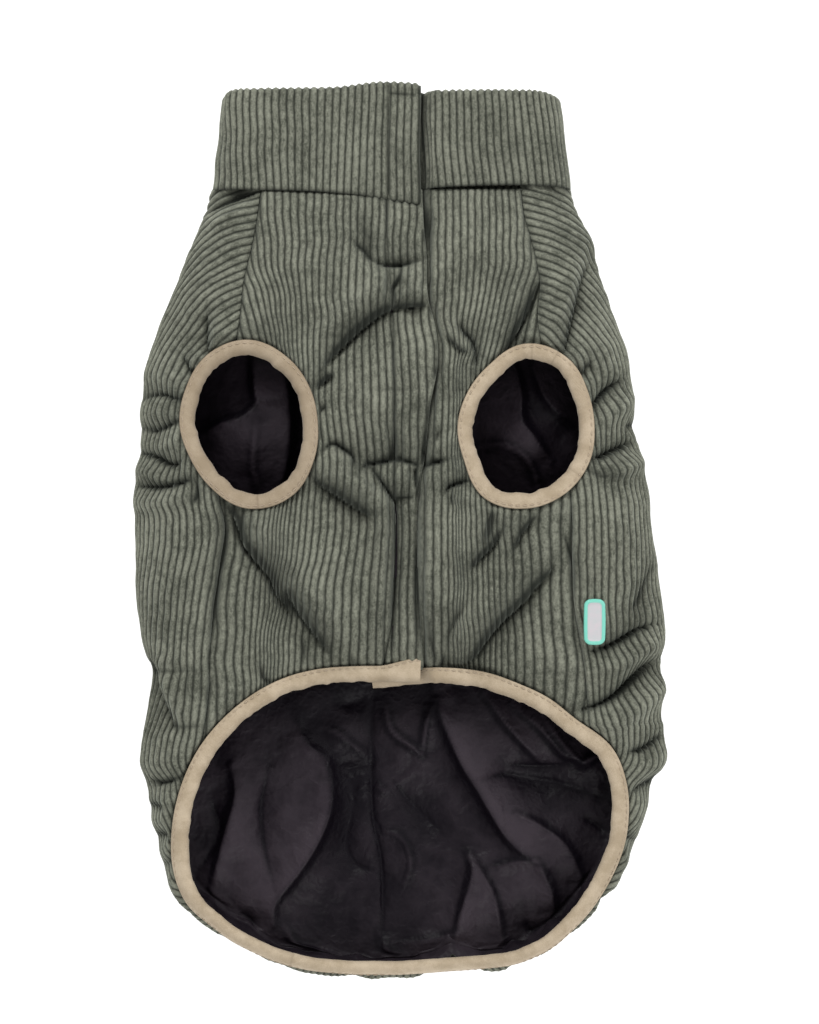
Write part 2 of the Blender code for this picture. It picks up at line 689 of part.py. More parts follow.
def hem_rim():
    """The cloth's edge all round the hem as (x, y, z, lean).

    It goes from the over front's end round the tail to the under front's end."""
    left_end, right_end = seam_line("left", 0)[-1, 0], seam_line("right", 0)[-1, 0]
    left_x = np.linspace(CLOSING_BAND[2, 0] - 0.2, left_end + 1.0, HEM_POINTS[0])
    right_x = np.linspace(right_end - 1.0, CLOSING_BAND[2, 0] - FLAP_REACH, HEM_POINTS[1])
    left_y, right_y = front_edge_y(left_x), under_edge_y(right_x)
    drop = flap_drop(right_x, right_y)
    rays = back_stations()[BODY_ROWS:-BODY_ROWS]
    tail_rim = back_skin(rays, ROLL_STEPS, 0.0)[:, 0]
    return np.concatenate([
        np.stack([left_x, left_y, front_height(left_x, left_y), 0 * left_x], axis=1),
        np.column_stack([tail_rim, [ray[-1] for ray in rays]]),
        np.stack([right_x, right_y, front_height(right_x, right_y) - drop, 0 * right_x], axis=1),
    ])


def make_hem_tape(material):
    """The tape round the hem, in one length whose two ends lap at the middle of the front."""
    rim = spaced(hem_rim(), TAPE_STEP)
    run = np.gradient(rim[:, :2], axis=0)
    run /= np.linalg.norm(run, axis=1)[:, None]
    inward = np.stack([-run[:, 1], run[:, 0]], axis=1)
    lean = rim[:, 3:4]
    across = np.column_stack([-inward * np.cos(lean), -np.sin(lean)])
    out = np.column_stack([-inward * np.sin(lean), np.cos(lean)])
    middle = rim[:, :3] - across * (TAPE_WIDTH / 2 + TAPE_GAP) - out * WALL / 2
    return tape("hem_tape", middle, across, out, False, material)


def collar_lift(x):
    """How far the collar's under end comes up to the over end's height."""
    start, stop = COLLAR_EASE
    return COLLAR_STEP * (1 - smooth_step(COLLAR_OVER_END + start, COLLAR_OVER_END + stop, x))


def collar_loop(section):
    """The collar's outside at one section as (x, z) with its normals, from the over end to the under end."""
    _, left, right, height, _ = section
    over, side, floor = COLLAR_POINTS
    radius = height / 2
    first, last = left + radius, right - radius
    turn = np.radians(np.linspace(90, 270, side + 2)[1:-1])
    normals = [(math.cos(a), math.sin(a)) for a in turn]
    left_turn = [(first + radius * across, radius + radius * up, across, up) for across, up in normals]
    right_turn = [(first + last - x, z, -across, up) for x, z, across, up in reversed(left_turn)]
    top_left = [(x, height, 0.0, 1.0) for x in np.linspace(COLLAR_OVER_END, first, over)]
    below = [(x, 0.0, 0.0, -1.0) for x in np.linspace(first, last, floor)]
    flat = np.linspace(last, COLLAR_OVER_END + COLLAR_EASE[1], 4)
    eased = COLLAR_OVER_END + np.array([8.0, 4.7, 0.7])
    under = np.linspace(COLLAR_OVER_END - 3.8, COLLAR_UNDER_END, 3)
    top_right = [(x, height - collar_lift(x), 0.0, 1.0) for x in (*flat, *eased, *under)]
    return np.array(top_left + left_turn + below + right_turn + top_right)


def make_collar(material):
    """The collar, one folded band round the neck whose over end laps its under end."""
    outer, inner = [], []
    for section in COLLAR_SECTIONS.T:
        y, rounding = section[0], section[-1]
        loop = collar_loop(section)
        place, normal = loop[:, :2], loop[:, 2:]
        for skin, depth in ((outer, rounding), (inner, COLLAR_WALL - rounding)):
            moved = place - normal * depth
            skin.append(np.column_stack([moved[:, 0], np.full(len(loop), y), moved[:, 1]]))
    faces = grid_faces(len(outer), len(outer[0]))
    return sheet_solid("collar", np.concatenate(outer), np.concatenate(inner), faces, material)


def make_tab(material):
    """A plain rubber tab that lies on the side of the back, made from that panel's points moved out."""
    wide, tall = TAB_SIZE
    low, high = [], []
    for t in np.linspace(-1, 1, TAB_ROWS):
        half = wide / 2 - (TAB_CORNER if abs(t) == 1 else 0)
        for s in np.linspace(-1, 1, TAB_COLUMNS):
            x, y = TAB_CENTRE[0] + s * half, TAB_CENTRE[1] + t * tall / 2
            low.append(side_point("right", x, y, TAB_GAP))
            high.append(side_point("right", x, y, TAB_GAP + TAB_THICKNESS))
    return sheet_solid("tab", np.array(high), np.array(low), grid_faces(TAB_ROWS, TAB_COLUMNS), material)


def make_material(name, colour, roughness):
    material = bpy.data.materials.new(name)
    material.use_nodes = True
    shader = material.node_tree.nodes["Principled BSDF"]
    shader.inputs["Base Color"].default_value = (*colour, 1)
    shader.inputs["Roughness"].default_value = roughness
    shader.inputs["Metallic"].default_value = 0.0
    return material


for old in list(bpy.data.objects):
    bpy.data.objects.remove(old)
COAT = bpy.data.collections.new("dog_winter_coat")
CUTTERS = bpy.data.collections.new("cutters")
for collection in (COAT, CUTTERS):
    bpy.context.scene.collection.children.link(collection)

corduroy = make_material("corduroy", (0.13, 0.145, 0.11), 0.95)
satin = make_material("lining_satin", (0.012, 0.01, 0.015), 0.45)
tape_cotton = make_material("tape_cotton", (0.54, 0.42, 0.28), 0.85)
rubber = make_material("tab_rubber", (0.3, 0.72, 0.58), 0.5)

front_over, front_under = make_fronts(corduroy)
back = make_back(corduroy)
linings = list(make_linings(satin))
holes = leg_cutters()
for panel in (front_over, front_under, back):
    cut(panel, holes)
for panel in linings:
    cut(panel, holes)
make_leg_tapes(tape_cotton)
make_hem_tape(tape_cotton)
make_collar(corduroy)
make_tab(rubber)
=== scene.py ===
"""A padded corduroy dog coat that lies on its back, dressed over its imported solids.

Sizes are in millimetres and the scene is in metres. +Y runs from the tail to the neck, +X to the side of the
under front, and +Z up from the floor.
"""

import math

import bpy
import numpy as np
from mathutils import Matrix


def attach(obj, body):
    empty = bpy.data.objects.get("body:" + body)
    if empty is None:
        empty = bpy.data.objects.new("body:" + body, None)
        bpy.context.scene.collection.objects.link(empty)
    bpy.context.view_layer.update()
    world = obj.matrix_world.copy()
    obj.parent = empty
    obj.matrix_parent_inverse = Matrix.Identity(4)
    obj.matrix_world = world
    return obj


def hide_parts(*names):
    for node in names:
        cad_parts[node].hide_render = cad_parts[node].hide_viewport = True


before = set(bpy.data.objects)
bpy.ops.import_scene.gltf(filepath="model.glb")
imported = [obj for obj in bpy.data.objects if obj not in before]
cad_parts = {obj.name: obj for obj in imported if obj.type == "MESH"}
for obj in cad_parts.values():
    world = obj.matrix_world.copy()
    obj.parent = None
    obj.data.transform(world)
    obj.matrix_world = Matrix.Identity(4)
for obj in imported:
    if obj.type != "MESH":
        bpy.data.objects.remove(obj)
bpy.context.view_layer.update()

MM = 0.001


# The studio: a plain white floor under large soft lights, and a camera that looks straight down from far off.
# Its place and lens are those of a long portrait lens over a table.
VIEW_CENTRE = (4.1, 8.05, 25.0)
VIEW_HEIGHT = 471.0  # what the long side of the picture takes in
LENS = 150.0
SENSOR = 36.0

camera_data = bpy.data.cameras.new("camera")
camera_data.lens = LENS
camera_data.sensor_width = SENSOR
camera_data.clip_end = 20.0
camera = bpy.data.objects.new("camera", camera_data)
camera.location = (
    VIEW_CENTRE[0] * MM,
    VIEW_CENTRE[1] * MM,
    (VIEW_CENTRE[2] + VIEW_HEIGHT * LENS / SENSOR) * MM,
)
bpy.context.scene.collection.objects.link(camera)
bpy.context.scene.camera = camera


def soft_light(name, place, aim, size, watts):
    """A square panel light that faces a point."""
    data = bpy.data.lights.new(name, "AREA")
    data.size = size
    data.energy = watts
    lamp = bpy.data.objects.new(name, data)
    lamp.location = place
    away = np.array(place) - np.array(aim)
    tilt = math.acos(away[2] / np.linalg.norm(away))
    lamp.rotation_euler = (tilt, 0, math.atan2(away[1], away[0]) + math.pi / 2)
    bpy.context.scene.collection.objects.link(lamp)


MIDDLE = (0.0, 0.0, 0.03)
soft_light("key", (-0.35, 1.4, 1.05), MIDDLE, 0.75, 18.0)
soft_light("fill", (1.2, 0.4, 1.0), MIDDLE, 1.0, 5.0)
soft_light("low", (0.35, -1.25, 1.1), MIDDLE, 0.9, 10.0)
world = bpy.data.worlds.new("studio")
world.use_nodes = True
world.node_tree.nodes["Background"].inputs["Color"].default_value = (1.0, 1.0, 1.0, 1.0)
world.node_tree.nodes["Background"].inputs["Strength"].default_value = 0.51
bpy.context.scene.world = world
bpy.context.scene.view_settings.view_transform = "Standard"

floor_paint = bpy.data.materials.new("floor_paint")
floor_paint.use_nodes = True
paint = floor_paint.node_tree.nodes["Principled BSDF"]
paint.inputs["Base Color"].default_value = (0.5, 0.5, 0.5, 1.0)
paint.inputs["Roughness"].default_value = 0.9
paint.inputs["Specular IOR Level"].default_value = 0.1
paint.inputs["Emission Color"].default_value = (1.0, 1.0, 1.0, 1.0)
paint.inputs["Emission Strength"].default_value = 0.85
FLOOR_SIZE = 4.0
bpy.ops.mesh.primitive_plane_add(size=FLOOR_SIZE)
floor = bpy.context.object
floor.name = "floor"
floor.data.materials.append(floor_paint)


# The back panel: one padded piece of wide-wale corduroy that lies on the floor, rolls up at both sides and at
# the tail, and is sewn to the fronts along the side seams. Its wales run lengthwise and swing round at the
# shoulders.
WALL = 5.0
SEAM_GAP = 0.3
NECK_Y = 156.5
TAIL_CENTRE_Y = -98.0
TAIL_BEARINGS = (180.0, 363.9)
SLANT_START = -62.0  # from here down the sections turn gradually to the tail's last bearing
ROUND = 0.5523  # handle of a cubic curve that makes a quarter circle
WAIST = 0.45  # height of the outline in the side's roll, as a share of the seam's height
FOOT = 0.95
FOOT_LIMITS = (11.0, 18.0)  # how far in the roll meets the floor
TAPE_WIDTH = 7.0
TAPE_GAP = 0.5
WALE = 3.35  # from one wale to the next
WALE_DEPTH = 0.85
PUFF = 0.4  # how far the padding swells beside a crease, as a share of its depth

# Sections across the body from the neck to the end of the side seams.
BODY_COLUMNS = ("y", "left", "right", "seam_left", "seam_right", "height", "crown")
BODY_SECTIONS = np.array([
    # y, left outline, right outline, left seam, right seam, height at the seams, crown of the front
    (-98.0, -119.4, 122.3, -91.0, 87.4, 36.0, -12.0),
    (-80.0, -117.4, 120.9, -88.3, 85.6, 39.0, -11.0),
    (-66.0, -116.4, 121.3, -87.3, 84.2, 41.0, -11.0),
    (-52.0, -118.9, 122.1, -86.7, 82.0, 43.0, -7.0),
    (-34.0, -121.2, 120.8, -85.2, 79.2, 45.0, -2.0),
    (-15.0, -122.1, 118.5, -83.0, 78.6, 47.0, 0.0),
    (3.0, -123.0, 115.3, -80.9, 78.3, 48.0, 2.0),
    (20.0, -123.0, 113.4, -83.0, 77.0, 49.0, 3.0),
    (40.0, -120.4, 109.4, -82.0, 74.0, 50.0, 3.0),
    (58.0, -119.6, 107.2, -80.0, 70.0, 49.5, 3.0),
    (77.0, -115.4, 105.8, -76.5, 66.0, 48.5, 3.0),
    (95.0, -112.0, 99.6, -73.4, 63.0, 46.5, 2.5),
    (114.0, -104.6, 94.4, -71.5, 63.4, 42.5, 2.0),
    (132.0, -96.6, 88.2, -67.5, 60.0, 37.5, 1.5),
    (145.0, -90.6, 82.2, -65.4, 56.6, 33.5, 1.0),
    (157.0, -87.6, 79.4, -64.0, 55.4, 30.0, 0.0),
]).T

# The outline of the tail, on rays from its centre.
TAIL_OUTLINE = np.array([
    # bearing, reach
    (180.0, 119.4),
    (185.0, 120.2),
    (191.0, 119.4),
    (198.0, 121.1),
    (207.0, 123.8),
    (212.0, 125.6),
    (217.0, 124.6),
    (224.0, 121.4),
    (232.0, 119.4),
    (240.0, 117.8),
    (248.0, 113.2),
    (256.0, 110.6),
    (265.0, 108.9),
    (274.0, 108.0),
    (282.0, 108.4),
    (290.0, 112.0),
    (298.0, 116.4),
    (306.0, 118.6),
    (314.0, 117.4),
    (322.0, 117.6),
    (331.0, 118.2),
    (341.0, 118.6),
    (350.0, 118.4),
    (356.0, 121.6),
    (364.0, 122.0),
]).T

# The middle line of the hem tape round the tail, with the height and the lean of the edge that it binds.
TAIL_HEM = np.array([
    # x, y, height, lean in degrees
    (-78.4, -89.0, 37.0, 0.0),
    (-89.0, -101.9, 36.0, 0.0),
    (-96.4, -117.5, 34.5, 7.0),
    (-100.5, -134.5, 32.5, 14.0),
    (-101.0, -152.5, 30.0, 24.0),
    (-95.4, -169.5, 27.0, 42.0),
    (-82.1, -182.4, 24.0, 56.0),
    (-67.4, -191.6, 22.0, 60.0),
    (-53.1, -197.6, 20.5, 60.0),
    (-37.5, -200.8, 19.0, 62.0),
    (-18.0, -202.6, 18.0, 62.0),
    (0.7, -202.2, 17.5, 60.0),
    (20.0, -200.9, 18.0, 62.0),
    (38.4, -199.6, 19.0, 62.0),
    (53.6, -197.0, 20.5, 60.0),
    (67.4, -190.7, 22.5, 57.0),
    (78.4, -180.2, 24.5, 50.0),
    (88.1, -167.7, 27.0, 38.0),
    (96.4, -151.6, 30.0, 24.0),
    (100.4, -134.5, 32.5, 14.0),
    (99.8, -117.1, 34.5, 7.0),
    (93.2, -101.2, 36.0, 0.0),
    (78.0, -89.9, 37.0, 0.0),
]).T

# Leg holes: the tape's middle line, as distances from the hole's centre at even bearings from +X.
LEG_HOLES = {
    "left": ((-69.2, 48.1), (28.1, 28.8, 31.5, 34.7, 33.1, 29.3, 27.8, 27.1, 29.9, 34.9, 34.7, 30.6)),
    "right": ((57.3, 46.7), (27.4, 28.7, 33.0, 34.3, 29.4, 27.5, 27.8, 28.8, 34.0, 33.4, 31.4, 29.2)),
}

# The creases of the whole outside, and the loft between them as depths below zero. The lip is how far the
# cloth to the left of the path folds over the crease, or the cloth to its right where it is negative.
CREASES = [
    # path of (x, y), depth, reach, lip
    # over front
    (((12.7, 101.9), (7.6, 101.4), (3.3, 100.6), (-2.1, 100.1)), 5, 3.4, -1),
    (((-23.2, 146.1), (-17.7, 136.8), (-10.3, 128.6)), 1.3, 12, 0),
    (((-82.1, 152.5), (-73.8, 153.4), (-65.5, 153.4)), 1.6, 7, 0),
    ((
        (1.2, 101.2), (-3, 100.1), (-6.7, 98.7), (-11.7, 95.6), (-16.7, 91.6),
        (-21.7, 87.2), (-26.7, 82.2), (-31.1, 77.7), (-36.1, 72),
    ), 6.5, 6.2, -1.8),
    (((-29.7, 70.7), (-33.8, 67.4), (-38.6, 63.7)), 4.2, 4, -1),
    (((-33.4, 56.4), (-36.6, 53.1)), 2.8, 3.4, 0),
    (((-23.2, 131.8), (-17.2, 126.7), (-12.7, 121.7)), 3, 5, -0.6),
    ((
        (-13.1, 123.1), (-9.7, 121.1), (-5.8, 120.1), (-1.7, 120.1),
        (1.6, 120.5), (5.3, 121.6), (12.2, 123.6),
    ), 4.6, 3.4, -1.3),
    (((0.2, 119.4), (-0.2, 114.8), (-2.1, 111.1), (-3.2, 109.2), (-2.7, 104.2)), 4, 3, 0),
    ((
        (-40.9, 26), (-37.8, 20.7), (-32.5, 17), (-26.2, 12.8),
        (-20.9, 9.6), (-16.7, 7), (-12.4, 6.4),
    ), 6, 5.4, 1.6),
    (((-36.2, 35), (-30.9, 38.7), (-25.6, 36), (-21.9, 32.9), (-20.5, 28.3)), 4.2, 3.8, -1),
    ((
        (-19.8, 25), (-15.2, 29.3), (-11.8, 29.9), (-7.2, 30.7),
        (-3.5, 31.6), (0.7, 31.2), (5, 30.1), (9.9, 28.6),
    ), 5, 4.4, -1.4),
    (((-15.2, 29.3), (-11, 24.4), (-7.6, 19.5), (-3.8, 14.1), (-2.7, 11.5), (-2.2, 3.9)), 5.4, 4.2, -1.3),
    (((6.5, 28.8), (6.7, 24.4), (7.5, 18.6)), 3.8, 3, 0.8),
    (((9.9, 27.8), (15.6, 30.1), (21.4, 31.5)), 4, 3.8, -1.2),
    (((-2.7, 48.1), (-2.9, 38.9), (-3.5, 31.1)), 4, 3.2, 0),
    (((11.1, 48.1), (10.3, 36.6), (9.8, 29.2)), 3.2, 3, 0.6),
    (((17.9, 46.2), (16.4, 40.2)), 2.6, 3, 0),
    (((-3.5, 14.1), (1.6, 14.3), (6.7, 14.5)), 2.2, 2.4, 0),
    (((-2.3, 11.7), (-2.1, 5.3), (-2.3, -7.1), (-2.8, -23.2), (-3.5, -37), (-4.4, -54.5)), 5, 3.8, -1.8),
    (((8.1, 13.6), (7.6, -4.8), (7.1, -27.8), (8.1, -57.7)), 3, 3.2, 0.8),
    (((-14, 63), (3.5, 63.2)), 1.2, 2.2, 0),
    ((
        (-80.7, 12.2), (-78, 8.1), (-75.2, 3.8), (-73, -3.3), (-70.9, -8.9),
        (-64.6, -16.7), (-59.7, -23), (-57.5, -30), (-53.3, -35.6), (-50.4, -40.7),
    ), 8, 7.4, 2),
    ((
        (-52.7, -26.9), (-51.2, -29.3), (-48.4, -35),
        (-44.4, -41.6), (-38.9, -49), (-31.1, -59.1),
    ), 6.6, 5.8, 1.4),
    (((-82.1, 9), (-80.5, -0.7), (-82.6, -15), (-84.6, -30), (-85.9, -43.9), (-86.3, -55.4)), 4.2, 3.6, 0),
    (((-85.8, -67.4), (-87.8, -74.3), (-88.5, -82.1)), 2.8, 3.4, 0),
    (((-63.9, -61.7), (-63.2, -68.1), (-59.7, -71.1)), 3, 3.6, 0),
    (((-47.1, -48.1), (-44.9, -55.4), (-44.9, -63.7)), 2.4, 4, 0),
    (((-23.2, -55.4), (-22.3, -60), (-20.5, -63.7)), 2, 3.4, 0),
    # loft of the over front
    (((-18.6, 108.3), (-11.3, 110.6), (-5.8, 112.5)), -2.8, 8, 0),
    (((2.1, 111.1), (10.8, 112.5)), -3.2, 7, 0),
    (((-34.3, 29.2), (-26.9, 25.5), (-19.6, 20), (-11.3, 12.7)), -3, 8, 0),
    (((-11.3, 23.7), (4.4, 23.7)), -2.2, 7, 0),
    (((12.7, 25.5), (20.9, 26.5)), -1.6, 7, 0),
    (((-46.2, 140.1), (-43.5, 105.6)), -2.2, 24, 0),
    (((-38, -7.1), (-25.1, -47.1)), -2.4, 20, 0),
    (((-72.5, -25.5), (-73.8, -53.1)), -1.8, 12, 0),
    (((-18.6, 84.9), (-9.4, 68.8)), -1.4, 12, 0),
    # under front
    (((19.7, 88.6), (22.8, 84.7), (26.7, 80.7), (30.7, 80.7)), 3, 4, 0.8),
    (((26.7, 96.1), (28.2, 90.7), (32.2, 85.7), (34.2, 80.7), (34.7, 70.6)), 4.6, 3.8, -1),
    (((25.1, 84.9), (28.3, 75.7)), -1.2, 7, 0),
    (((63.7, 114.8), (58.7, 101), (53.1, 89.5), (46.7, 78.9)), 5.4, 5.6, -1.2),
    (((21.9, 63.2), (31.1, 63.2)), 1.2, 2.6, 0),
    (((19.8, 16.8), (23.2, 19.5), (27.1, 20.8), (32.4, 22.3)), 4.4, 3.8, -1.2),
    (((23.5, 16.3), (23.1, 10.8)), 2.4, 2.8, 0),
    (((42.1, 9.4), (40.7, 2.5), (38, -5.3)), 4, 5.4, 0),
    (((47.1, 0.7), (42.6, -7.5), (36.7, -13.3), (31.6, -18.6)), 4.8, 4.8, -1),
    (((63.2, 7.1), (58.7, 1.6), (55.4, -3), (51.3, -11.7)), 3.6, 4.2, -0.8),
    ((
        (70.6, -14), (67.7, -20.4), (62.6, -26.2), (55.4, -34.6), (49, -40.4),
        (42.6, -47.5), (37.4, -54.6), (34.1, -59.1), (27.8, -62.3),
    ), 7.4, 6.4, -2),
    (((18, -63.7), (21.4, -56.4)), 2.2, 3.4, 0),
    (((30.1, -32.4), (23.7, -43.9), (20.9, -55.4)), 2, 5, -0.4),
    (((12.7, -37), (13.6, -50.8), (16.3, -63.7)), 2.2, 4, -0.4),
    (((73.4, 0.2), (76.6, -8.8), (78.7, -17.7), (79.4, -31.5)), 3.4, 3.2, 0),
    # loft of the under front
    (((31.1, 144.7), (35.6, 110.2)), -2.2, 22, 0),
    (((18.2, 4.4), (31.1, -37)), -3.4, 17, 0),
    (((45.8, -20.9), (30.1, -47.1)), -2.6, 11, 0),
    (((66.5, -43.9), (48.1, -65.5)), -1.8, 14, 0),
    # right side of the back
    (((88.1, 123.1), (84.4, 110.2), (80.7, 96.8), (74.1, 78)), 5, 5, -1.1),
    (((66.5, 135), (68.3, 110.2), (65.5, 82.6)), -2, 6, 0),
    (((89, 77), (83, 68.8)), 3.4, 3.6, -0.5),
    (((103.7, 68.8), (97.8, 63.7), (92.7, 58.7), (87.2, 52.2)), 5, 4.6, 1),
    (((110.2, 48.5), (104.7, 45.8)), 2.8, 3.4, 0),
    (((109.2, 40.2), (101.6, 36), (95.1, 33.4), (87.6, 31.5)), 6, 4.8, 1.3),
    (((116.8, -15), (111.4, -30.1), (107, -37.8)), 3, 4.4, 0),
    (((119.4, -43.5), (111.4, -46.5), (103.7, -50.8), (95.1, -54.1), (84.4, -56.4)), 6.4, 5.2, 1.5),
    ((
        (121.2, -60), (116.8, -63.8), (108.1, -70.4),
        (99.4, -76.9), (89.7, -81.2), (78.9, -83.5),
    ), 7, 5.8, 1.7),
    (((122.1, -94.3), (114.6, -100.8), (103.7, -103.3)), 4, 4.6, 0.6),
    (((120.1, -111.6), (116.8, -117.1), (106.5, -121.7)), 3.6, 4, 0.4),
    (((84.4, 27.4), (91.8, 23.7), (104.7, 22.8)), 1.6, 4.4, 0),
    (((92.7, -69.2), (110.2, -57.7)), -2, 8, 0),
    (((89.9, 13.6), (101.9, -32.4)), -1.6, 18, 0),
    (((95.5, -91.3), (112.5, -85.3)), -1.8, 8, 0),
    # left side of the back
    (((-91.3, 144.7), (-82.1, 148.8), (-73.8, 151.6), (-63.7, 155.2)), 3.6, 3.6, -0.9),
    (((-89.2, 98.2), (-89.7, 87.6), (-88.1, 78.4)), 5, 3.6, 0.9),
    (((-100.1, 79.4), (-97.3, 72.5), (-93.6, 66.9)), 3.8, 3.6, 0.5),
    (((-120.8, 58.7), (-111.6, 61.4), (-101.4, 58.7), (-94.1, 60.5)), 3, 4, -0.4),
    (((-122.6, 46.7), (-114.3, 44.9), (-103.3, 48.5), (-96.8, 46.7)), 3.2, 4, -0.4),
    (((-123.5, 35.6), (-115.2, 32.4), (-107.9, 29.2), (-99.6, 31.1)), 4, 4, -0.9),
    (((-124.4, 20), (-113.2, 18.5), (-101.2, 20.7), (-95.9, 22.8)), 4.4, 4.2, -0.9),
    (((-94.1, 23.7), (-93.4, 15.7), (-94.9, 11.3)), 3.6, 3.2, 0),
    (((-117.1, -58.2), (-115.2, -64.6), (-111.7, -75.8), (-107.5, -84.9), (-103.7, -92.2)), 5, 4.2, 1),
    (((-105.1, -90.9), (-89.5, -90.9)), 1.8, 3, 0),
    (((-115.2, -65.1), (-88.5, -65.1)), 1.4, 2.4, 0),
    (((-117.1, -116.2), (-110.6, -117.1), (-98.7, -113.4)), 3.4, 4.2, -0.5),
    (((-118.5, -127.2), (-109.7, -129)), 2.8, 4.2, 0),
    (((-116.2, -141.9), (-107.9, -141.9)), 2.8, 4.2, 0),
    (((-110.6, -155.7), (-102.4, -153)), 2.6, 4.2, 0),
    (((-106, -4.8), (-102.4, -50.8)), -1.8, 16, 0),
    # tail
    (((110.2, -143.8), (101, -141.9)), 2.8, 4.6, 0),
    (((94.5, -172.7), (87.2, -164.9)), 2.8, 4.6, 0),
    (((-77.5, -190.7), (-71.1, -181.5)), 3, 4.2, 0),
    (((-54.5, -201.7), (-51.3, -192.5)), 3, 4.2, 0),
    (((-22.3, -208.2), (-21.4, -198)), 3, 4.2, 0),
    (((10.8, -208.2), (9.9, -198)), 3, 4.2, 0),
    (((26.5, -211.8), (26, -195.7)), 8, 8, 0),
    (((58.7, -203.6), (54.5, -193.4)), 3, 4.2, 0),
    (((76.1, -191.6), (69.2, -183.3)), 3, 4.2, 0),
    (((-96.8, -176), (-89, -168.1)), 2.8, 4.2, 0),
]

SHOULDER_ARC = 60.0  # mean radius of the arcs in which the wales of each shoulder swing round
SHOULDERS = {"left": (-46.0, 48.0), "right": (36.0, 50.0)}  # the centres of those arcs


def spline(knots, values, at):
    """A smooth curve through the values at the knots, read at the given places."""
    knots, values = np.asarray(knots, float), np.asarray(values, float)
    slope = np.gradient(values, knots)
    at = np.clip(np.asarray(at, float), knots[0], knots[-1])
    i = np.clip(np.searchsorted(knots, at, side="right") - 1, 0, len(knots) - 2)
    width = knots[i + 1] - knots[i]
    t = (at - knots[i]) / width
    rise = 3 * t**2 - 2 * t**3
    start, end = (t**3 - 2 * t**2 + t) * width, (t**3 - t**2) * width
    return (1 - rise) * values[i] + rise * values[i + 1] + start * slope[i] + end * slope[i + 1]


def smooth_step(low, high, at):
    """A smooth rise from 0 at low to 1 at high."""
    t = np.clip((at - low) / (high - low), 0, 1)
    return t * t * (3 - 2 * t)


def soft_noise(x, y, size, seed):
    """Smooth random values between -1 and 1 that change over a distance of about size."""
    count = 64
    lattice = np.random.default_rng(seed).uniform(-1, 1, (count, count))
    u, v = np.asarray(x, float) / size, np.asarray(y, float) / size
    i, j = np.floor(u).astype(int), np.floor(v).astype(int)
    s, t = u - i, v - j
    s, t = s * s * (3 - 2 * s), t * t * (3 - 2 * t)
    i, j, k, m = i % count, j % count, (i + 1) % count, (j + 1) % count
    near = lattice[i, j] * (1 - s) + lattice[k, j] * s
    far = lattice[i, m] * (1 - s) + lattice[k, m] * s
    return near * (1 - t) + far * t


def body(column, y):
    return spline(BODY_SECTIONS[0], BODY_SECTIONS[BODY_COLUMNS.index(column)], y)


def offset_line(x, y, distance):
    """A line moved to its left as it is walked."""
    run = np.stack([np.gradient(x), np.gradient(y)])
    run /= np.linalg.norm(run, axis=0)
    return x - run[1] * distance, y + run[0] * distance


def tail_edge(bearing):
    """Reach, height and lean of the cloth's edge on a ray from the tail's centre."""
    at = np.linspace(0, 1, 400)
    knots = np.linspace(0, 1, TAIL_HEM.shape[1])
    x, y, height, lean = (spline(knots, column, at) for column in TAIL_HEM)
    lean = np.radians(lean)
    outset = (TAPE_WIDTH / 2 + TAPE_GAP) * np.cos(lean) + WALL / 2 * np.sin(lean)
    x, y = offset_line(x, y, -outset)
    place = np.unwrap(np.arctan2(y - TAIL_CENTRE_Y, x))
    place += 2 * math.pi * (place[0] < 0)
    reach = np.hypot(x, y - TAIL_CENTRE_Y)
    return [np.interp(np.radians(bearing), place, column) for column in (reach, height, lean)]


def path_through(points, per_span=4):
    """A smooth line through a few points."""
    points = np.asarray(points, float)
    at = np.linspace(0, len(points) - 1, per_span * (len(points) - 1) + 1)
    return np.stack([spline(np.arange(len(points)), column, at) for column in points.T], axis=1)


def nearest_on(path, places):
    """For each place the offset from a path, the distance, the share of the path passed, and the side it is
    on, from -1 to 1."""
    line = path_through(path)
    best = np.full(len(places), 1e9)
    share, side, offset = np.zeros(len(places)), np.zeros(len(places)), np.zeros((len(places), 2))
    for k, (a, b) in enumerate(zip(line[:-1], line[1:])):
        run = b - a
        along = np.clip((places - a) @ run / (run @ run), 0, 1)
        gap = places - a - along[:, None] * run
        away = np.hypot(gap[:, 0], gap[:, 1])
        closer = away < best
        best[closer] = away[closer]
        share[closer] = (k + along[closer]) / (len(line) - 1)
        offset[closer] = gap[closer]
        turned = run[0] * gap[closer, 1] - run[1] * gap[closer, 0]
        side[closer] = turned / (np.linalg.norm(run) * np.maximum(away[closer], 1e-6))
    return offset, best, share, side


CREASE_SPREAD = 5.0  # how many reaches away a crease still shows
CREASE_HOLLOW = 0.36  # the wide hollow round a crease, as a share of its depth
CREASE_PULL = 0.1  # how far the cloth is drawn in, as a share of the reach


def crease_section(away, reach, over, north):
    """Depth and shade across a crease. over is 1 on the side that folds over it, -1 on the other and 0 on an
    even crease. The side that folds over is puffed and rolls down, and the other comes out flat from beneath
    it. north is 1 where the place lies towards the neck from the crease, so that its slope there leans to the
    tail."""
    t = away / (reach * (1 - 0.2 * over))
    rolled = np.exp(-(t**1.25))
    flat = 0.5 * np.exp(-away / 1.3) + 0.5 * np.exp(-t)
    below = np.clip(-over, 0, 1)
    trough = rolled * (1 - below) + flat * below
    trough += CREASE_HOLLOW * np.exp(-((t / 2.6) ** 2)) * (1 - 0.6 * over)
    trough -= PUFF * (1 + over) * np.exp(-((t - 2.1) ** 2))
    # painted shade: darkest in the crease, and wider on its side towards the neck, whose slope faces away from
    # the light
    dark = 1.08 * np.exp(-((away / (reach * (0.37 + 0.15 * north + 0.05 * over))) ** 2))
    wide = (0.46 + 0.14 * over) * np.exp(-(t**2)) + (0.22 + 0.1 * over) * np.exp(-((t / 2.4) ** 2))
    dark += wide * np.clip(0.5 + 0.7 * north, 0, 1)
    return trough, dark


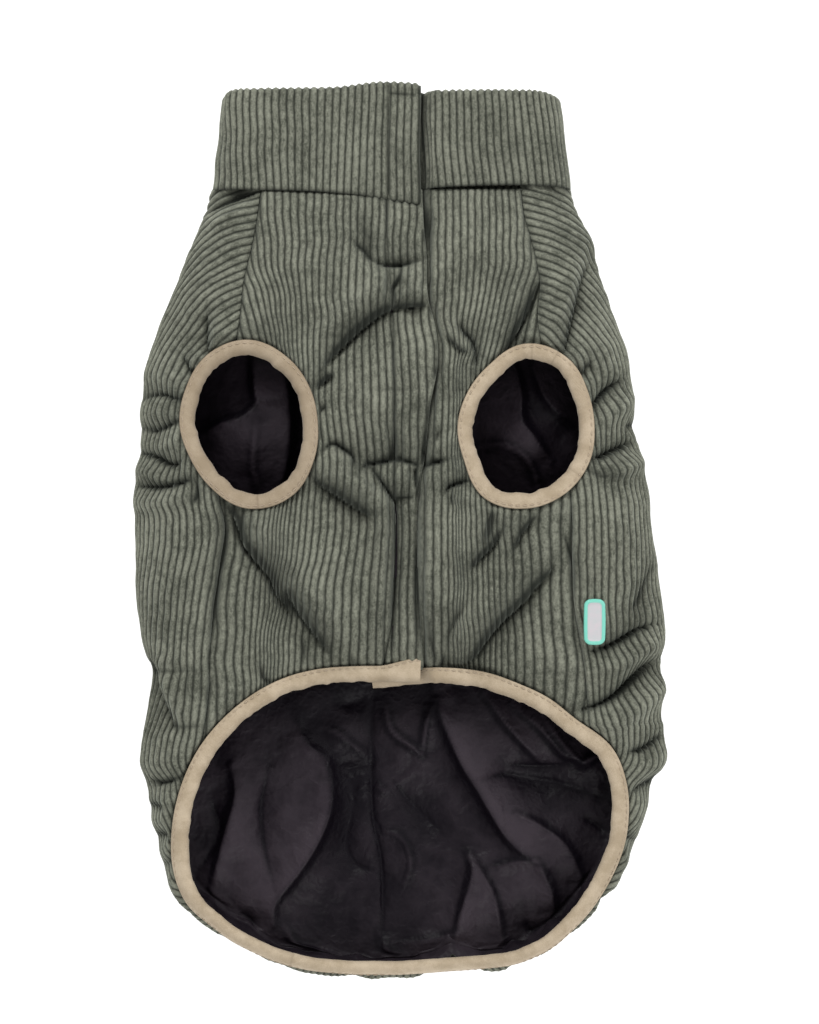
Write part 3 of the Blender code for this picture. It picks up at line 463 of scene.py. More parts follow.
def creased(x, y):
    """What the creases do at each place: the push into the cloth, the draw sideways, and the shade in
    them."""
    places = np.stack([np.ravel(x), np.ravel(y)], axis=1)
    push, shade, draw = np.zeros(len(places)), np.zeros(len(places)), np.zeros((len(places), 2))
    for path, depth, reach, lip in CREASES:
        low, high = np.min(path, axis=0) - CREASE_SPREAD * reach, np.max(path, axis=0) + CREASE_SPREAD * reach
        here = np.all((places > low) & (places < high), axis=1)
        offset, away, share, side = nearest_on(path, places[here])
        strength = np.sin(np.pi * np.clip(share, 0.03, 0.97)) ** 0.6
        if depth < 0:
            push[here] += strength * depth * np.exp(-((away / reach) ** 2))
            continue
        north = offset[:, 1] / np.maximum(away, 1e-6)
        trough, dark = crease_section(away, reach, side * np.clip(lip, -1, 1), north)
        push[here] += strength * (depth * trough - lip * side * np.exp(-away / reach))
        shade[here] += strength * min(1.0, depth / 4) * dark
        pull = CREASE_PULL * min(1, depth / 3) * strength * np.exp(1 - away / reach)
        draw[here] -= offset * pull[:, None]
    shape = np.shape(x)
    return push.reshape(shape), draw.reshape(shape + (2,)), np.minimum(shade, 1).reshape(shape)


def wale_relief(wale):
    """How far the cloth's face lies under the tops of its wales."""
    return WALE_DEPTH * (0.5 + 0.5 * np.cos(2 * np.pi * wale)) ** 1.2


def swell(x, y):
    """The uneven loft of the padding."""
    return 1.5 * soft_noise(x, y, 34, 3) + 0.8 * soft_noise(x, y, 15, 4) + 0.25 * soft_noise(x, y, 6, 5)


def seam_dip(distance, depth=2.6, reach=1.9):
    """How far the cloth goes down beside a seam or under a tape."""
    return depth * np.exp(-np.maximum(distance, 0) / reach)


def hole_line(side, outset=0.0, count=40):
    """The middle line of a leg hole's tape as (x, y), moved outward from the hole by outset."""
    centre, radii = LEG_HOLES[side]
    bearing = np.arange(-2, len(radii) + 3)
    at = np.linspace(0, 2 * np.pi, count + 1)[:-1]
    radius = spline(bearing * 2 * np.pi / len(radii), np.array(radii)[bearing % len(radii)], at)
    line = np.stack([np.cos(at), np.sin(at)], axis=1) * radius[:, None] + centre
    run = np.roll(line, -1, axis=0) - np.roll(line, 1, axis=0)
    run /= np.linalg.norm(run, axis=1)[:, None]
    return line + outset * np.stack([run[:, 1], -run[:, 0]], axis=1)


UNDER_TAPE = 1.6  # how far the cloth goes on under a tape


def round_hole(side, x, y):
    """Distance outside a leg hole's cloth edge, with the unit vector away from the hole."""
    centre = LEG_HOLES[side][0]
    rim = hole_line(side, TAPE_WIDTH / 2 + TAPE_GAP - 0.4, 120) - centre
    bearing = np.unwrap(np.arctan2(rim[:, 1], rim[:, 0]))
    reach = np.hypot(*rim.T)
    dx, dy = x - centre[0], y - centre[1]
    away = np.maximum(np.hypot(dx, dy), 1e-6)
    turn = (np.arctan2(dy, dx) - bearing[0]) % (2 * np.pi) + bearing[0]
    edge = np.interp(turn, np.append(bearing, bearing[0] + 2 * np.pi), np.append(reach, reach[0]))
    return away - edge, np.stack([dx, dy], axis=-1) / away[..., None], turn


LOFT_BACK = (-0.5, 6.0)  # the loft comes back between these distances from a seam or a tape


def loft_beside(distance):
    """The share of its loft that the cloth has at a distance from a seam or a tape."""
    return smooth_step(*LOFT_BACK, distance)


def at_leg_holes(places, active):
    """Cloth round the leg holes: the places with their edges moved under the tape, the dip, the share of its
    loft that the tape leaves it, and what is cut away."""
    dip, free = np.zeros(active.shape), np.ones(active.shape)
    cut = np.zeros(active.shape, bool)
    for side in LEG_HOLES:
        away, out, turn = round_hole(side, places[..., 0], places[..., 1])
        inside = active & (away < -UNDER_TAPE)
        near = active & (away > -12) & (away < 14)
        gathers = 0.35 * np.sin(38 * turn + 3 * np.sin(5 * turn)) * np.exp(-np.maximum(away, 0) / 4)
        dip += near * (seam_dip(away, 2.8, 1.6) + gathers)
        free = np.where(near, np.minimum(free, loft_beside(away)), free)
        places[inside, :2] -= out[inside] * (away[inside] + UNDER_TAPE)[:, None]
        cut |= inside
    return dip, free, cut


def held_down(change, free):
    """A change of depth whose rises, which are negative, are held back beside a tape."""
    return np.where(change < 0, change * free, change)


def cloth(name, places, finish, cut=None, shades=None, flip=False):
    """A mesh over a grid of places in mm. Places that meet are joined, and faces that are all cut are left
    out."""
    rows, columns = places.shape[:2]
    flat = places.reshape(-1, 3)
    _, first, index = np.unique(np.round(flat, 3), axis=0, return_index=True, return_inverse=True)
    index = index.reshape(rows, columns)
    faces = np.stack([index[:-1, :-1], index[:-1, 1:], index[1:, 1:], index[1:, :-1]], axis=-1).reshape(-1, 4)
    if cut is not None:
        corners = np.stack([cut[:-1, :-1], cut[:-1, 1:], cut[1:, 1:], cut[1:, :-1]], axis=-1).reshape(-1, 4)
        faces = faces[~corners.all(axis=1)]
    if flip:
        faces = faces[:, ::-1]
    whole = []
    for face in faces.tolist():
        face = [c for k, c in enumerate(face) if c != face[k - 1]]
        if len(face) > 2 and len(set(face)) == len(face):
            whole.append(face)
    used = np.zeros(len(first), bool)
    used[[c for face in whole for c in face]] = True
    place_of = np.cumsum(used) - 1
    mesh = bpy.data.meshes.new(name)
    corners_of = [[int(place_of[c]) for c in face] for face in whole]
    mesh.from_pydata((flat[first][used] * MM).tolist(), [], corners_of)
    for label, values in (shades or {}).items():
        layer = mesh.attributes.new(label, "FLOAT", "POINT")
        layer.data.foreach_set("value", values.reshape(-1)[first][used].astype(np.float32))
    mesh.shade_smooth()
    mesh.materials.append(finish)
    piece = bpy.data.objects.new(name, mesh)
    bpy.context.scene.collection.objects.link(piece)
    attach(piece, "root")
    return piece


def bezier(points, count=80):
    t = np.linspace(0, 1, count + 1)[:, None]
    a, b, c, d = (np.asarray(p, float) for p in points)
    return (1 - t) ** 3 * a + 3 * (1 - t) ** 2 * t * b + 3 * (1 - t) * t**2 * c + t**3 * d


def walked(line):
    """The distance from a line's start to each of its points."""
    return np.concatenate([[0], np.cumsum(np.linalg.norm(np.diff(line, axis=0), axis=1))])


def evenly(line, count):
    """The same line with points at even distances."""
    along = walked(line)
    at = np.linspace(0, along[-1], count + 1)
    return np.stack([np.interp(at, along, column) for column in line.T], axis=1)


def roll_profile(outline, edge, height, lean, steps):
    """Outside of one section of the back as (reach, height), from its edge over the roll and under to the
    middle."""
    waist = height * WAIST
    foot = outline - np.clip(waist * FOOT, *FOOT_LIMITS)
    start, side, end = np.array([edge, height]), np.array([outline, waist]), np.array([foot, 0.0])
    pull = ROUND * math.hypot((outline - edge) * math.cos(lean), (height - waist) * math.sin(lean))
    from_edge = start + pull * np.array([math.cos(lean), -math.sin(lean)])
    top = evenly(bezier([start, from_edge, side + (0, ROUND * (height - waist)), side]), steps[0])
    low = evenly(bezier([side, side - (0, ROUND * waist), end + (ROUND * (outline - foot), 0), end]), steps[1])
    flat = np.stack([np.linspace(foot, 0, steps[2] + 1), np.zeros(steps[2] + 1)], axis=1)
    return np.concatenate([top, low[1:], flat[1:]]), waist, foot


def outward(profile, lean):
    """Unit normals of a section, pointing out of the coat."""
    run = np.gradient(profile, axis=0)
    run[0] = (math.cos(lean), -math.sin(lean))
    run[-1] = (-1, 0)
    run[np.abs(profile[:, 1]) < 1e-9] = (-1, 0)
    run /= np.linalg.norm(run, axis=1)[:, None]
    return np.stack([-run[:, 1], run[:, 0]], axis=1)


def back_stations(shoulder_step, side_step, ray_count):
    """Sections of the back as (origin, direction, outline, edge, height, lean), from the left of the neck
    round the tail to the right of the neck."""
    turning = 60.0
    upper = np.arange(NECK_Y, turning, -shoulder_step)
    lower = np.arange(turning, TAIL_CENTRE_Y + side_step / 2, -side_step)
    rows = {}
    for side, sign, slant in (("left", -1, 0.0), ("right", 1, math.radians(TAIL_BEARINGS[1] - 360))):
        rows[side] = []
        for y in (*upper, *lower):
            turn = slant * (1 - smooth_step(TAIL_CENTRE_Y, SLANT_START, y))
            out_y = y + sign * body(side, y) * math.sin(turn)
            edge_y = y + sign * body("seam_" + side, y) * math.sin(turn)
            outline, edge = sign * body(side, out_y), sign * body("seam_" + side, edge_y) + SEAM_GAP / 2
            direction = (sign * math.cos(turn), math.sin(turn))
            rows[side].append(((0.0, y), direction, outline, edge, body("height", edge_y), 0.0))
    rays = []
    for bearing in np.linspace(*TAIL_BEARINGS, ray_count + 1):
        turn = math.radians(bearing)
        reach, height, lean = tail_edge(bearing)
        outline = spline(TAIL_OUTLINE[0], TAIL_OUTLINE[1], bearing)
        rays.append(((0.0, TAIL_CENTRE_Y), (math.cos(turn), math.sin(turn)), outline, reach, height, lean))
    return rows["left"], rays, rows["right"][::-1]


def back_grid(parts, steps):
    """The back's plain outside as a grid: places, normals, distances from the edge, heights as shares of the
    waist's height, the wale that each place is on, and how far along it."""
    places, normals, spans, shares, wales, alongs = [], [], [], [], [], []
    offset = 0.0
    for kind, stations in zip(("left", "tail", "right"), parts):
        for k, (origin, direction, outline, edge, height, lean) in enumerate(stations):
            profile, waist, foot = roll_profile(outline, edge, height, lean, steps)
            normal = outward(profile, lean)
            span = walked(profile)
            to_foot = span[steps[0] + steps[1]]
            if kind == "tail":
                if k == 0:
                    offset = foot + to_foot
                wale = direction[0] * (foot + to_foot - span) + offset
                along = origin[1] + direction[1] * (foot + to_foot - span)
            else:
                wale, along = shoulder_wale(kind, origin[1], span)
            if kind == "right":
                wale = right_start - wale
            if kind == "tail" and k == len(stations) - 1:
                right_start = foot + to_foot + offset
            flat_place = np.asarray(origin) + np.outer(profile[:, 0], direction)
            places.append(np.column_stack([flat_place, profile[:, 1]]))
            normals.append(np.column_stack([np.outer(normal[:, 0], direction), normal[:, 1]]))
            spans.append(span)
            shares.append(profile[:, 1] / waist)
            wales.append(wale / WALE)
            alongs.append(along)
    return [np.array(part) for part in (places, normals, spans, shares, wales, alongs)]


def shoulder_wale(side, y, span):
    """Distance across and along the wales at a distance from the side seam. Above the shoulder's centre they
    run in arcs."""
    centre_x, centre_y = SHOULDERS[side]
    start = abs(centre_x - body("seam_" + side, centre_y))
    if y <= centre_y:
        return span, y + 0 * span
    out = abs(centre_x - body("seam_" + side, y)) + span
    return np.hypot(out, y - centre_y) - start, centre_y + SHOULDER_ARC * np.arctan2(y - centre_y, out)


BACK_STEPS = (74, 22, 8)
UNDER_COLLAR_REACH = 3.5  # how far the back goes on beneath the collar
UNDER_COLLAR_SCALE = (0.975, 1.0, 0.97)  # how much smaller it is there
HANG = 2.4  # how far a cloth goes down behind the tape or seam that covers it
parts = back_stations(0.85, 1.5, 250)
places, normals, spans, shares, wales, alongs = back_grid(parts, BACK_STEPS)
facing = smooth_step(0.08, 0.9, shares)
push, draw, shade = creased(places[..., 0], places[..., 1])
wale_drift = 0.16 * soft_noise(places[..., 0], places[..., 1], 12, 11)
wales += wale_drift + 0.07 * soft_noise(places[..., 0], alongs, 5, 12)
relief = wale_relief(wales) * smooth_step(0.0, 0.25, shares)
tail_start, tail_end = len(parts[0]), len(parts[0]) + len(parts[1])
row = np.arange(len(places))
in_tail = smooth_step(0, 20, row - tail_start) * smooth_step(0, 20, tail_end - row)
relief *= (1 - 0.5 * in_tail)[:, None]  # pressed flatter where the tail lies on the floor
upper = np.arange(places.shape[1]) <= BACK_STEPS[0]
dip, free, cut = at_leg_holes(places, np.broadcast_to(upper, shares.shape))
free = np.minimum(free, loft_beside(spans))
loft = swell(places[..., 0], places[..., 1]) * facing
at_waist = np.exp(-(((shares - 1) / 0.4) ** 2))
depth = held_down(push * facing * (1 - 0.6 * at_waist) - loft, free) + relief + dip + seam_dip(spans)
places[..., :2] += draw * facing[..., None]
places -= normals * depth[..., None]
places[..., 2] = np.maximum(places[..., 2], 0.0)
skirt = places[:, :1] - np.array([0, 0, HANG])
places = np.concatenate([skirt, places], axis=1)
cut = np.concatenate([cut[:, :1], cut], axis=1)
wales, alongs = (np.concatenate([part[:, :1], part], axis=1) for part in (wales, alongs))
# The cloth let down behind the tape is painted in full shade, and the creases' painted shade fades out where
# the cloth turns under.
shade = np.concatenate([np.ones((len(shade), 1)), shade * facing], axis=1)
lead, trail = (
    part * np.array(UNDER_COLLAR_SCALE) + np.array([0, UNDER_COLLAR_REACH, 0])
    for part in (places[:1], places[-1:])
)
places = np.concatenate([lead, places, trail])
cut, wales, alongs, shade = (
    np.concatenate([part[:1], part, part[-1:]]) for part in (cut, wales, alongs, shade)
)


class Flow:
    """A number that changes over a surface. Arithmetic on it adds Math nodes to its material."""

    def __init__(self, tree, socket):
        self.tree = tree
        self.socket = socket

    def math(self, operation, *others, reflected=False):
        values = [self, *others]
        if reflected:
            values.reverse()
        node = self.tree.nodes.new("ShaderNodeMath")
        node.operation = operation
        for socket, value in zip(node.inputs, values):
            if isinstance(value, Flow):
                self.tree.links.new(value.socket, socket)
            else:
                socket.default_value = value
        return Flow(self.tree, node.outputs[0])

    def __add__(self, other):
        return self.math("ADD", other)

    def __sub__(self, other):
        return self.math("SUBTRACT", other)

    def __mul__(self, other):
        return self.math("MULTIPLY", other)

    def __rsub__(self, other):
        return self.math("SUBTRACT", other, reflected=True)

    def __pow__(self, other):
        return self.math("POWER", other)

    __radd__ = __add__
    __rmul__ = __mul__


class Finish:
    """A material. Its constants are set on the shader, and its nodes are added by type."""

    def __init__(self, name, **constants):
        self.material = bpy.data.materials.new(name)
        self.material.use_nodes = True
        self.tree = self.material.node_tree
        self.shader = self.tree.nodes["Principled BSDF"]
        for label, value in constants.items():
            self.shader.inputs[label.replace("_", " ")].default_value = value

    def node(self, kind, settings=None, output=0, **sockets):
        """A node of a type, with its settings first and then the values or links of its sockets."""
        node = self.tree.nodes.new("ShaderNode" + kind)
        for label, value in (settings or {}).items():
            setattr(node, label, value)
        for label, value in sockets.items():
            socket = node.inputs[int(label[1:]) if label[1:].isdigit() else label.replace("_", " ")]
            if isinstance(value, Flow):
                self.tree.links.new(value.socket, socket)
            else:
                socket.default_value = value
        return Flow(self.tree, node.outputs[output])

    def place(self):
        return self.node("TexCoord", output=3)

    def noise(self, place, size, detail=2.0):
        """Noise whose features are about size millimetres across."""
        return self.node("TexNoise", Vector=place, Scale=1 / (size * MM), Detail=detail, Roughness=0.6)

    def layer(self, name):
        """A number that the mesh holds at each point."""
        return self.node("Attribute", {"attribute_name": name, "attribute_type": "GEOMETRY"}, output=2)

    def step(self, value, low, high):
        return self.node("MapRange", {"interpolation_type": "SMOOTHSTEP"}, Value=value, i1=low, i2=high)

    def mix(self, share, first, second):
        """Two colours mixed. A plain colour is a triple."""
        first, second = ((*c, 1.0) if isinstance(c, tuple) else c for c in (first, second))
        return self.node("Mix", {"data_type": "RGBA"}, output=2, i0=share, i6=first, i7=second)

    def feed(self, label, value):
        self.tree.links.new(value.socket, self.shader.inputs[label])

    def bump(self, height, distance, strength=1.0):
        self.feed("Normal", self.node("Bump", Height=height, Distance=distance * MM, Strength=strength))


def corduroy_finish():
    """Cotton corduroy with a soft nap, pale and mottled on the tops of the wales, with painted shade in the
    grooves between them. Its "shade" layer adds painted shade in its creases, along its seams, beneath the
    parts that lap it and over the collar."""
    finish = Finish(
        "corduroy_cloth",
        Roughness=0.95,
        Specular_IOR_Level=0.18,
        Sheen_Weight=0.35,
        Sheen_Roughness=0.45,
        Sheen_Tint=(0.75, 0.8, 0.68, 1.0),
    )
    place = finish.place()
    wale, crease = finish.layer("wale"), finish.layer("shade")
    across = (wale.math("FRACT") - 0.5).math("ABSOLUTE") * 2
    combed = finish.node("CombineXYZ", X=wale * (WALE * MM), Y=finish.layer("along") * (0.35 * MM))
    tuft = finish.noise(combed, 0.8, 4.0) * 0.65 + finish.noise(place, 0.8, 3.0) * 0.35
    ragged = across + (finish.noise(combed, 0.9, 3.0) - 0.5) * 0.5
    groove = finish.step(ragged, 0.22, 1.04) ** 1.5
    rub = finish.noise(place, 3.2, 3.0)
    patch = finish.noise(place, 20.0, 3.0)
    tone = finish.step(tuft * 0.7 + rub * 0.4 + patch * 0.45, 0.54, 1.0)
    pile = finish.mix(tone, (0.07, 0.074, 0.057), (0.272, 0.28, 0.222))
    # painted shade in the grooves between the wales
    grooved = finish.mix(groove * 0.93, pile, (0.02, 0.022, 0.017))
    # painted shade from the "shade" layer: creases, seams, beneath the closing band and the collar's over end,
    # and over the collar
    finish.feed("Base Color", finish.mix(crease ** 1.15 * 0.97, grooved, (0.014, 0.016, 0.013)))
    crown = 1 - across**2.2
    finish.bump(crown + tuft * 0.5 + rub * 0.2, 0.42, 0.8)
    return finish.material


corduroy = corduroy_finish()
back = cloth("back_cloth", places, corduroy, cut, {"wale": wales, "along": alongs, "shade": shade})
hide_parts("back")


# The fronts: two padded corduroy panels. The left one closes over the right one and carries a band of its
# own, whose free edge is turned under. The right one goes on beneath that band.
FLAP_STEP = WALL + 0.6
FLAP_REACH = 23.0
FLAP_EASE = 5.0
FLAP_DROOP = 3.5
WEDGE = 2.4  # width of the opening beside the band's free edge below the neck
WEDGE_Y = 140.0
WEDGE_REACH = 12.0  # its half height
FRONT_FULLNESS = 0.8
FRONT_ROWS = 190
WALE_PLACES = (0.0, 0.09, 0.27, 0.5, 0.73, 0.91)  # where a wale is sampled, closer together at its groove

# The middle line of the hem tape across the front.
FRONT_HEM = np.array([
    # x, y
    (-96.4, -117.5),
    (-89.0, -101.9),
    (-78.4, -89.0),
    (-65.6, -78.6),
    (-51.8, -71.5),
    (-37.5, -67.8),
    (-24.2, -66.6),
    (-9.0, -66.4),
    (10.0, -67.0),
    (25.0, -67.4),
    (38.4, -69.2),
    (50.8, -73.4),
    (65.6, -80.2),
    (78.0, -89.9),
    (93.2, -101.2),
    (99.8, -117.1),
]).T

# The band that closes the front: where it is sewn on, and its free edge.
CLOSING_BAND = np.array([
    # y, seam x, free edge x
    (-64.0, -8.4, 9.4),
    (-55.0, -6.6, 8.5),
    (-42.0, -4.4, 7.9),
    (-20.0, -3.2, 7.3),
    (14.0, -3.0, 7.1),
    (32.0, -3.0, 9.8),
    (58.0, -3.0, 12.6),
    (74.0, -3.0, 15.6),
    (92.0, -3.0, 14.8),
    (106.0, -4.4, 11.6),
    (125.0, -5.4, 11.0),
    (140.0, -6.0, 9.6),
    (157.0, -6.6, 9.0),
]).T

# Where the wales of the fronts are drawn sideways as they run down.
WALE_BENDS = [
    # x, reach, starts at y, ends at y, shift
    (-78.0, 24.0, 150.0, 72.0, 14.0),
    (-54.0, 48.0, 24.0, -64.0, -7.0),
    (62.0, 24.0, 140.0, 68.0, -13.0),
    (36.0, 12.0, 110.0, 70.0, -3.0),
    (20.0, 12.0, 106.0, 72.0, 3.0),
    (-12.0, 14.0, 60.0, 20.0, 1.5),
    (60.0, 40.0, 10.0, -70.0, 2.0)
]


# The neck seam of the over front and its band, which the over end of the collar hides.
NECK_SEAM = np.array([
    # x, y
    (-88.0, 156.8),
    (-46.0, 155.7),
    (-28.0, 154.7),
    (-12.0, 152.7),
    (0.0, 150.7),
    (8.0, 149.3),
    (14.0, 148.8),
]).T


def below_neck(x, y):
    """Distance below the over front's neck seam."""
    return spline(*NECK_SEAM, x) - y


def front_edge_y(x):
    """The cloth's lower edge across the front, outside the tape that binds it."""
    at = np.linspace(0, 1, 200)
    knots = np.linspace(0, 1, FRONT_HEM.shape[1])
    tape_x, tape_y = (spline(knots, column, at) for column in FRONT_HEM)
    line_x, line_y = offset_line(tape_x, tape_y, TAPE_WIDTH / 2 + TAPE_GAP)
    return np.interp(x, line_x, line_y)


def front_height(x, y):
    """Height of the outside of the front over the surface, without its folds."""
    left, right = body("seam_left", y), body("seam_right", y)
    across = np.clip((x - left) / (right - left), 0, 1)
    return body("height", y) + body("crown", y) * np.sin(np.pi * across) ** FRONT_FULLNESS


def band_line(column, y):
    return spline(CLOSING_BAND[0], CLOSING_BAND[column], y)


def in_wedge(y):
    """1 at the middle of the wedge-shaped opening, and towards 0 beyond its ends."""
    return np.exp(-(((y - WEDGE_Y) / WEDGE_REACH) ** 2))


def flap_drop(x, y):
    """How far the under front lies below the surface, beneath the closing band."""
    past = x - band_line(2, y) - WEDGE * in_wedge(y)
    return FLAP_STEP * (1 - smooth_step(0.4, FLAP_EASE, past))


def under_edge_y(x):
    """The under front's lower edge, which hangs out a little beneath the over front."""
    clear = CLOSING_BAND[2, 0] + FLAP_EASE
    return front_edge_y(x) - FLAP_DROOP * np.clip((clear - x) / (FLAP_EASE + FLAP_REACH), 0, 1)


def drawn(x, y):
    """How far the wales of the fronts are drawn sideways."""
    total = soft_noise(x, y, 30, 21) + 0.7 * soft_noise(0.4 * x, y, 12, 22)
    total = total + 0.2 * soft_noise(0.4 * x, y, 5, 23)
    for centre, reach, start, stop, shift in WALE_BENDS:
        total = total + shift * np.exp(-(((x - centre) / reach) ** 2)) * smooth_step(-start, -stop, -y)
    return total


def panel_places(left, right, bottom, low_x, high_x, rows=FRONT_ROWS):
    """Places on a front panel whose columns run along the wales, with the wale that each is on. left and
    right give x at a y, bottom gives the lower edge at an x, and the panel lies between low_x and high_x."""
    first, last = math.floor(low_x / WALE), math.ceil(high_x / WALE)
    wale = np.concatenate([k + np.array(WALE_PLACES) for k in range(first, last)])
    flat_x = (wale * WALE)[None, :]
    share = np.linspace(0, 1, rows + 1)[:, None]
    y = NECK_Y + (CLOSING_BAND[0, 0] - NECK_Y) * share + 0 * flat_x
    for _ in range(5):
        raw = flat_x + drawn(flat_x, y)
        x = np.clip(raw, left(y), right(y))
        y = NECK_Y + (bottom(x) - UNDER_TAPE - NECK_Y) * share
    on = np.array([np.interp(x[i], np.maximum.accumulate(raw[i]), wale) for i in range(len(x))])
    return x, y, on


def front_cloth(x, y, wale, edge_distance, drop=0.0):
    """A front panel from its places, raised to its height, with its wales, creases, seams and leg hole."""
    push, draw, shade = creased(x, y)
    height = front_height(x, y) - drop
    places = np.stack([x, y, height], axis=-1)
    dip, free, cut = at_leg_holes(places, np.ones(x.shape, bool))
    free = np.minimum(free, loft_beside(edge_distance)) * (1 - np.clip(drop / FLAP_STEP, 0, 1))
    depth = held_down(push - swell(x, y), free) + wale_relief(wale) + dip + seam_dip(edge_distance)
    places[..., :2] += draw
    places[..., 2] -= depth
    # Painted shade: beneath the closing band where the under front drops under it, deepest in the wedge-shaped
    # opening below the neck, and along the seams.
    beneath = np.clip(drop / FLAP_STEP, 0, 1) * (0.5 + 0.5 * in_wedge(y))
    shade = np.maximum.reduce([shade, beneath, 0.75 * np.exp(-((edge_distance / 0.8) ** 2))])
    return places, cut, shade


def hanging(places):
    """The last row of a cloth, let down behind the tape or seam that covers it."""
    return places[-1:] - np.array([0, 0, HANG])


def add_front(name, nodes, left, right, bottom, low_x, high_x, seams, drop=None):
    """Make one front panel. seams gives the distance to its nearest sewn edge at each place."""
    x, y, wale = panel_places(left, right, bottom, low_x, high_x)
    lowered = np.zeros(x.shape) if drop is None else drop(x, y)
    places, cut, shade = front_cloth(x, y, wale, seams(x, y), lowered)
    places = np.concatenate([places, hanging(places)])
    cut, wale, y, shade = (np.concatenate([part, part[-1:]]) for part in (cut, wale, y, shade))
    panel = cloth(name, places, corduroy, cut, {"wale": wale, "along": y, "shade": shade}, flip=True)
    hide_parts(*nodes)
    return panel


def band_seam(y):
    return band_line(1, y)


def band_edge(y):
    return band_line(2, y)


def hem_distance(x, y, bottom=front_edge_y):
    return y - bottom(x)


def over_seams(x, y):
    """Distance to the over front's nearest seam."""
    return np.minimum.reduce([
        x - body("seam_left", y),
        band_seam(y) - x,
        hem_distance(x, y),
        below_neck(x, y),
    ])


def under_seams(x, y):
    """Distance to the under front's nearest seam."""
    return np.minimum.reduce([body("seam_right", y) - x, hem_distance(x, y, under_edge_y), NECK_Y + 0.3 - y])


front_over = add_front(
    "front_over_cloth",
    ["front_over"],
    lambda y: body("seam_left", y),
    band_seam,
    front_edge_y,
    -112.0,
    4.0,
    over_seams,
)

front_under = add_front(
    "front_under_cloth",
    ["front_under"],
    lambda y: band_edge(y) - FLAP_REACH,
    lambda y: body("seam_right", y),
    under_edge_y,
    -30.0,
    112.0,
    under_seams,
    flap_drop,
)

BAND_SINK = 1.4  # how far the lower half of the band lies beneath the lofted panels

# The free edge of the closing band, as steps sideways and down from the band's last column.
TURNED_EDGE = ((0.5, 0.35), (0.95, 1.1), (1.15, 2.1), (0.95, 3.2), (0.3, 4.1), (-1.6, 4.6))
x, y, wale = panel_places(band_seam, band_edge, front_edge_y, -14.0, 22.0)
to_edge = np.minimum.reduce([x - band_seam(y), hem_distance(x, y), below_neck(x, y)])
sunk = BAND_SINK * (1 - smooth_step(2.0, 18.0, y))
places, cut, shade = front_cloth(x, y, wale, to_edge)
places[..., 2] -= sunk
round_off = 0.5 * np.exp(-np.maximum(band_edge(y) - x, 0) / 1.2)
places[..., 2] -= round_off
edge_columns = [places[:, -1:] + np.array([out, 0, -down]) for out, down in TURNED_EDGE]
places = np.concatenate([places, *edge_columns], axis=1)
places = np.concatenate([places, hanging(places)])
wale, y, shade = (
    np.concatenate([part, np.repeat(part[:, -1:], len(TURNED_EDGE), axis=1)], axis=1)
    for part in (wale, y, shade)
)
wale, y, shade = (np.concatenate([part, part[-1:]]) for part in (wale, y, shade))
band_layers = {"wale": wale, "along": y, "shade": shade}
band = cloth("closing_band_cloth", places, corduroy, None, band_layers, flip=True)
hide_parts("closing_band")


# The collar: one band of corduroy, folded over at the top and sewn round the neck. Its over end is a doubled
# strip that laps the under end at the middle of the front.
COLLAR_WALL = 7.0
COLLAR_OVER_END = 8.5
COLLAR_UNDER_END = -10.0
COLLAR_STEP = COLLAR_WALL + 0.8
COLLAR_EASE = (0.6, 7.0)
COLLAR_STRIP = -5.8  # where the doubled strip starts
STRIP_TOP = 200.0  # where it is sewn across at the top
COLLAR_LIP = 1.1  # how far the collar stands over the panels at the neck seam

# Sections from the neck seam to the top.
COLLAR_SECTIONS = np.array([
    # y, left outline, right outline, height
    (146.0, -88.0, 79.6, 31.0),
    (157.0, -87.2, 79.0, 30.6),
    (170.0, -85.8, 77.4, 30.0),
    (184.0, -84.6, 76.0, 29.5),
    (196.0, -83.5, 74.9, 29.0),
    (206.4, -82.4, 73.8, 28.4),
]).T

# The neck seam and the top edge of the over part and of the under part, as seen from above.
OVER_COLLAR = np.array([
    # x, neck seam y, top y
    (-88.0, 156.6, 199.5),
    (-84.0, 156.4, 201.2),
    (-78.0, 156.2, 202.6),
    (-65.0, 155.8, 203.3),
    (-46.0, 155.4, 203.6),
    (-28.0, 154.4, 204.2),
    (-20.0, 153.6, 205.3),
    (-12.0, 152.4, 206.2),
    (0.0, 150.4, 206.0),
    (8.0, 149.0, 205.2),
    (11.8, 148.6, 204.0),
]).T
UNDER_COLLAR = np.array([
    # x, neck seam y, top y
    (-12.0, 155.0, 201.6),
    (12.0, 156.6, 202.0),
    (20.0, 157.2, 202.4),
    (55.0, 158.0, 202.6),
    (66.0, 157.6, 202.3),
    (72.0, 157.4, 201.4),
    (76.0, 157.0, 200.0),
    (80.0, 156.6, 198.0),
]).T


def collar_loop(y):
    """The collar's outside at a height along the neck as (x, z, across, up), from the over end to the under
    end."""
    left, right, height = (spline(COLLAR_SECTIONS[0], column, y) for column in COLLAR_SECTIONS[1:])
    radius = height / 2
    first, last = left + radius, right - radius
    turn = np.radians(np.linspace(90, 270, 61))
    left_turn = np.column_stack([first + radius * np.cos(turn), radius + radius * np.sin(turn)])
    right_turn = np.column_stack([last - radius * np.cos(turn), radius + radius * np.sin(turn)])[::-1]
    top_x = np.linspace(last, COLLAR_UNDER_END, 120)[1:]
    start, stop = COLLAR_EASE
    lift = COLLAR_STEP * (1 - smooth_step(COLLAR_OVER_END + start, COLLAR_OVER_END + stop, top_x))
    return np.concatenate([
        np.array([[COLLAR_OVER_END, height]]),
        left_turn,
        right_turn,
        np.column_stack([top_x, height - lift]),
    ])


def along_loop(loop, at):
    """Points and outward normals of a loop at shares of its length, and that length."""
    along = walked(loop)
    at = at * along[-1]
    point = np.stack([np.interp(at, along, column) for column in loop.T], axis=1)
    run = np.gradient(point, axis=0)
    run /= np.linalg.norm(run, axis=1)[:, None]
    return point, np.stack([run[:, 1], -run[:, 0]], axis=1), along[-1]


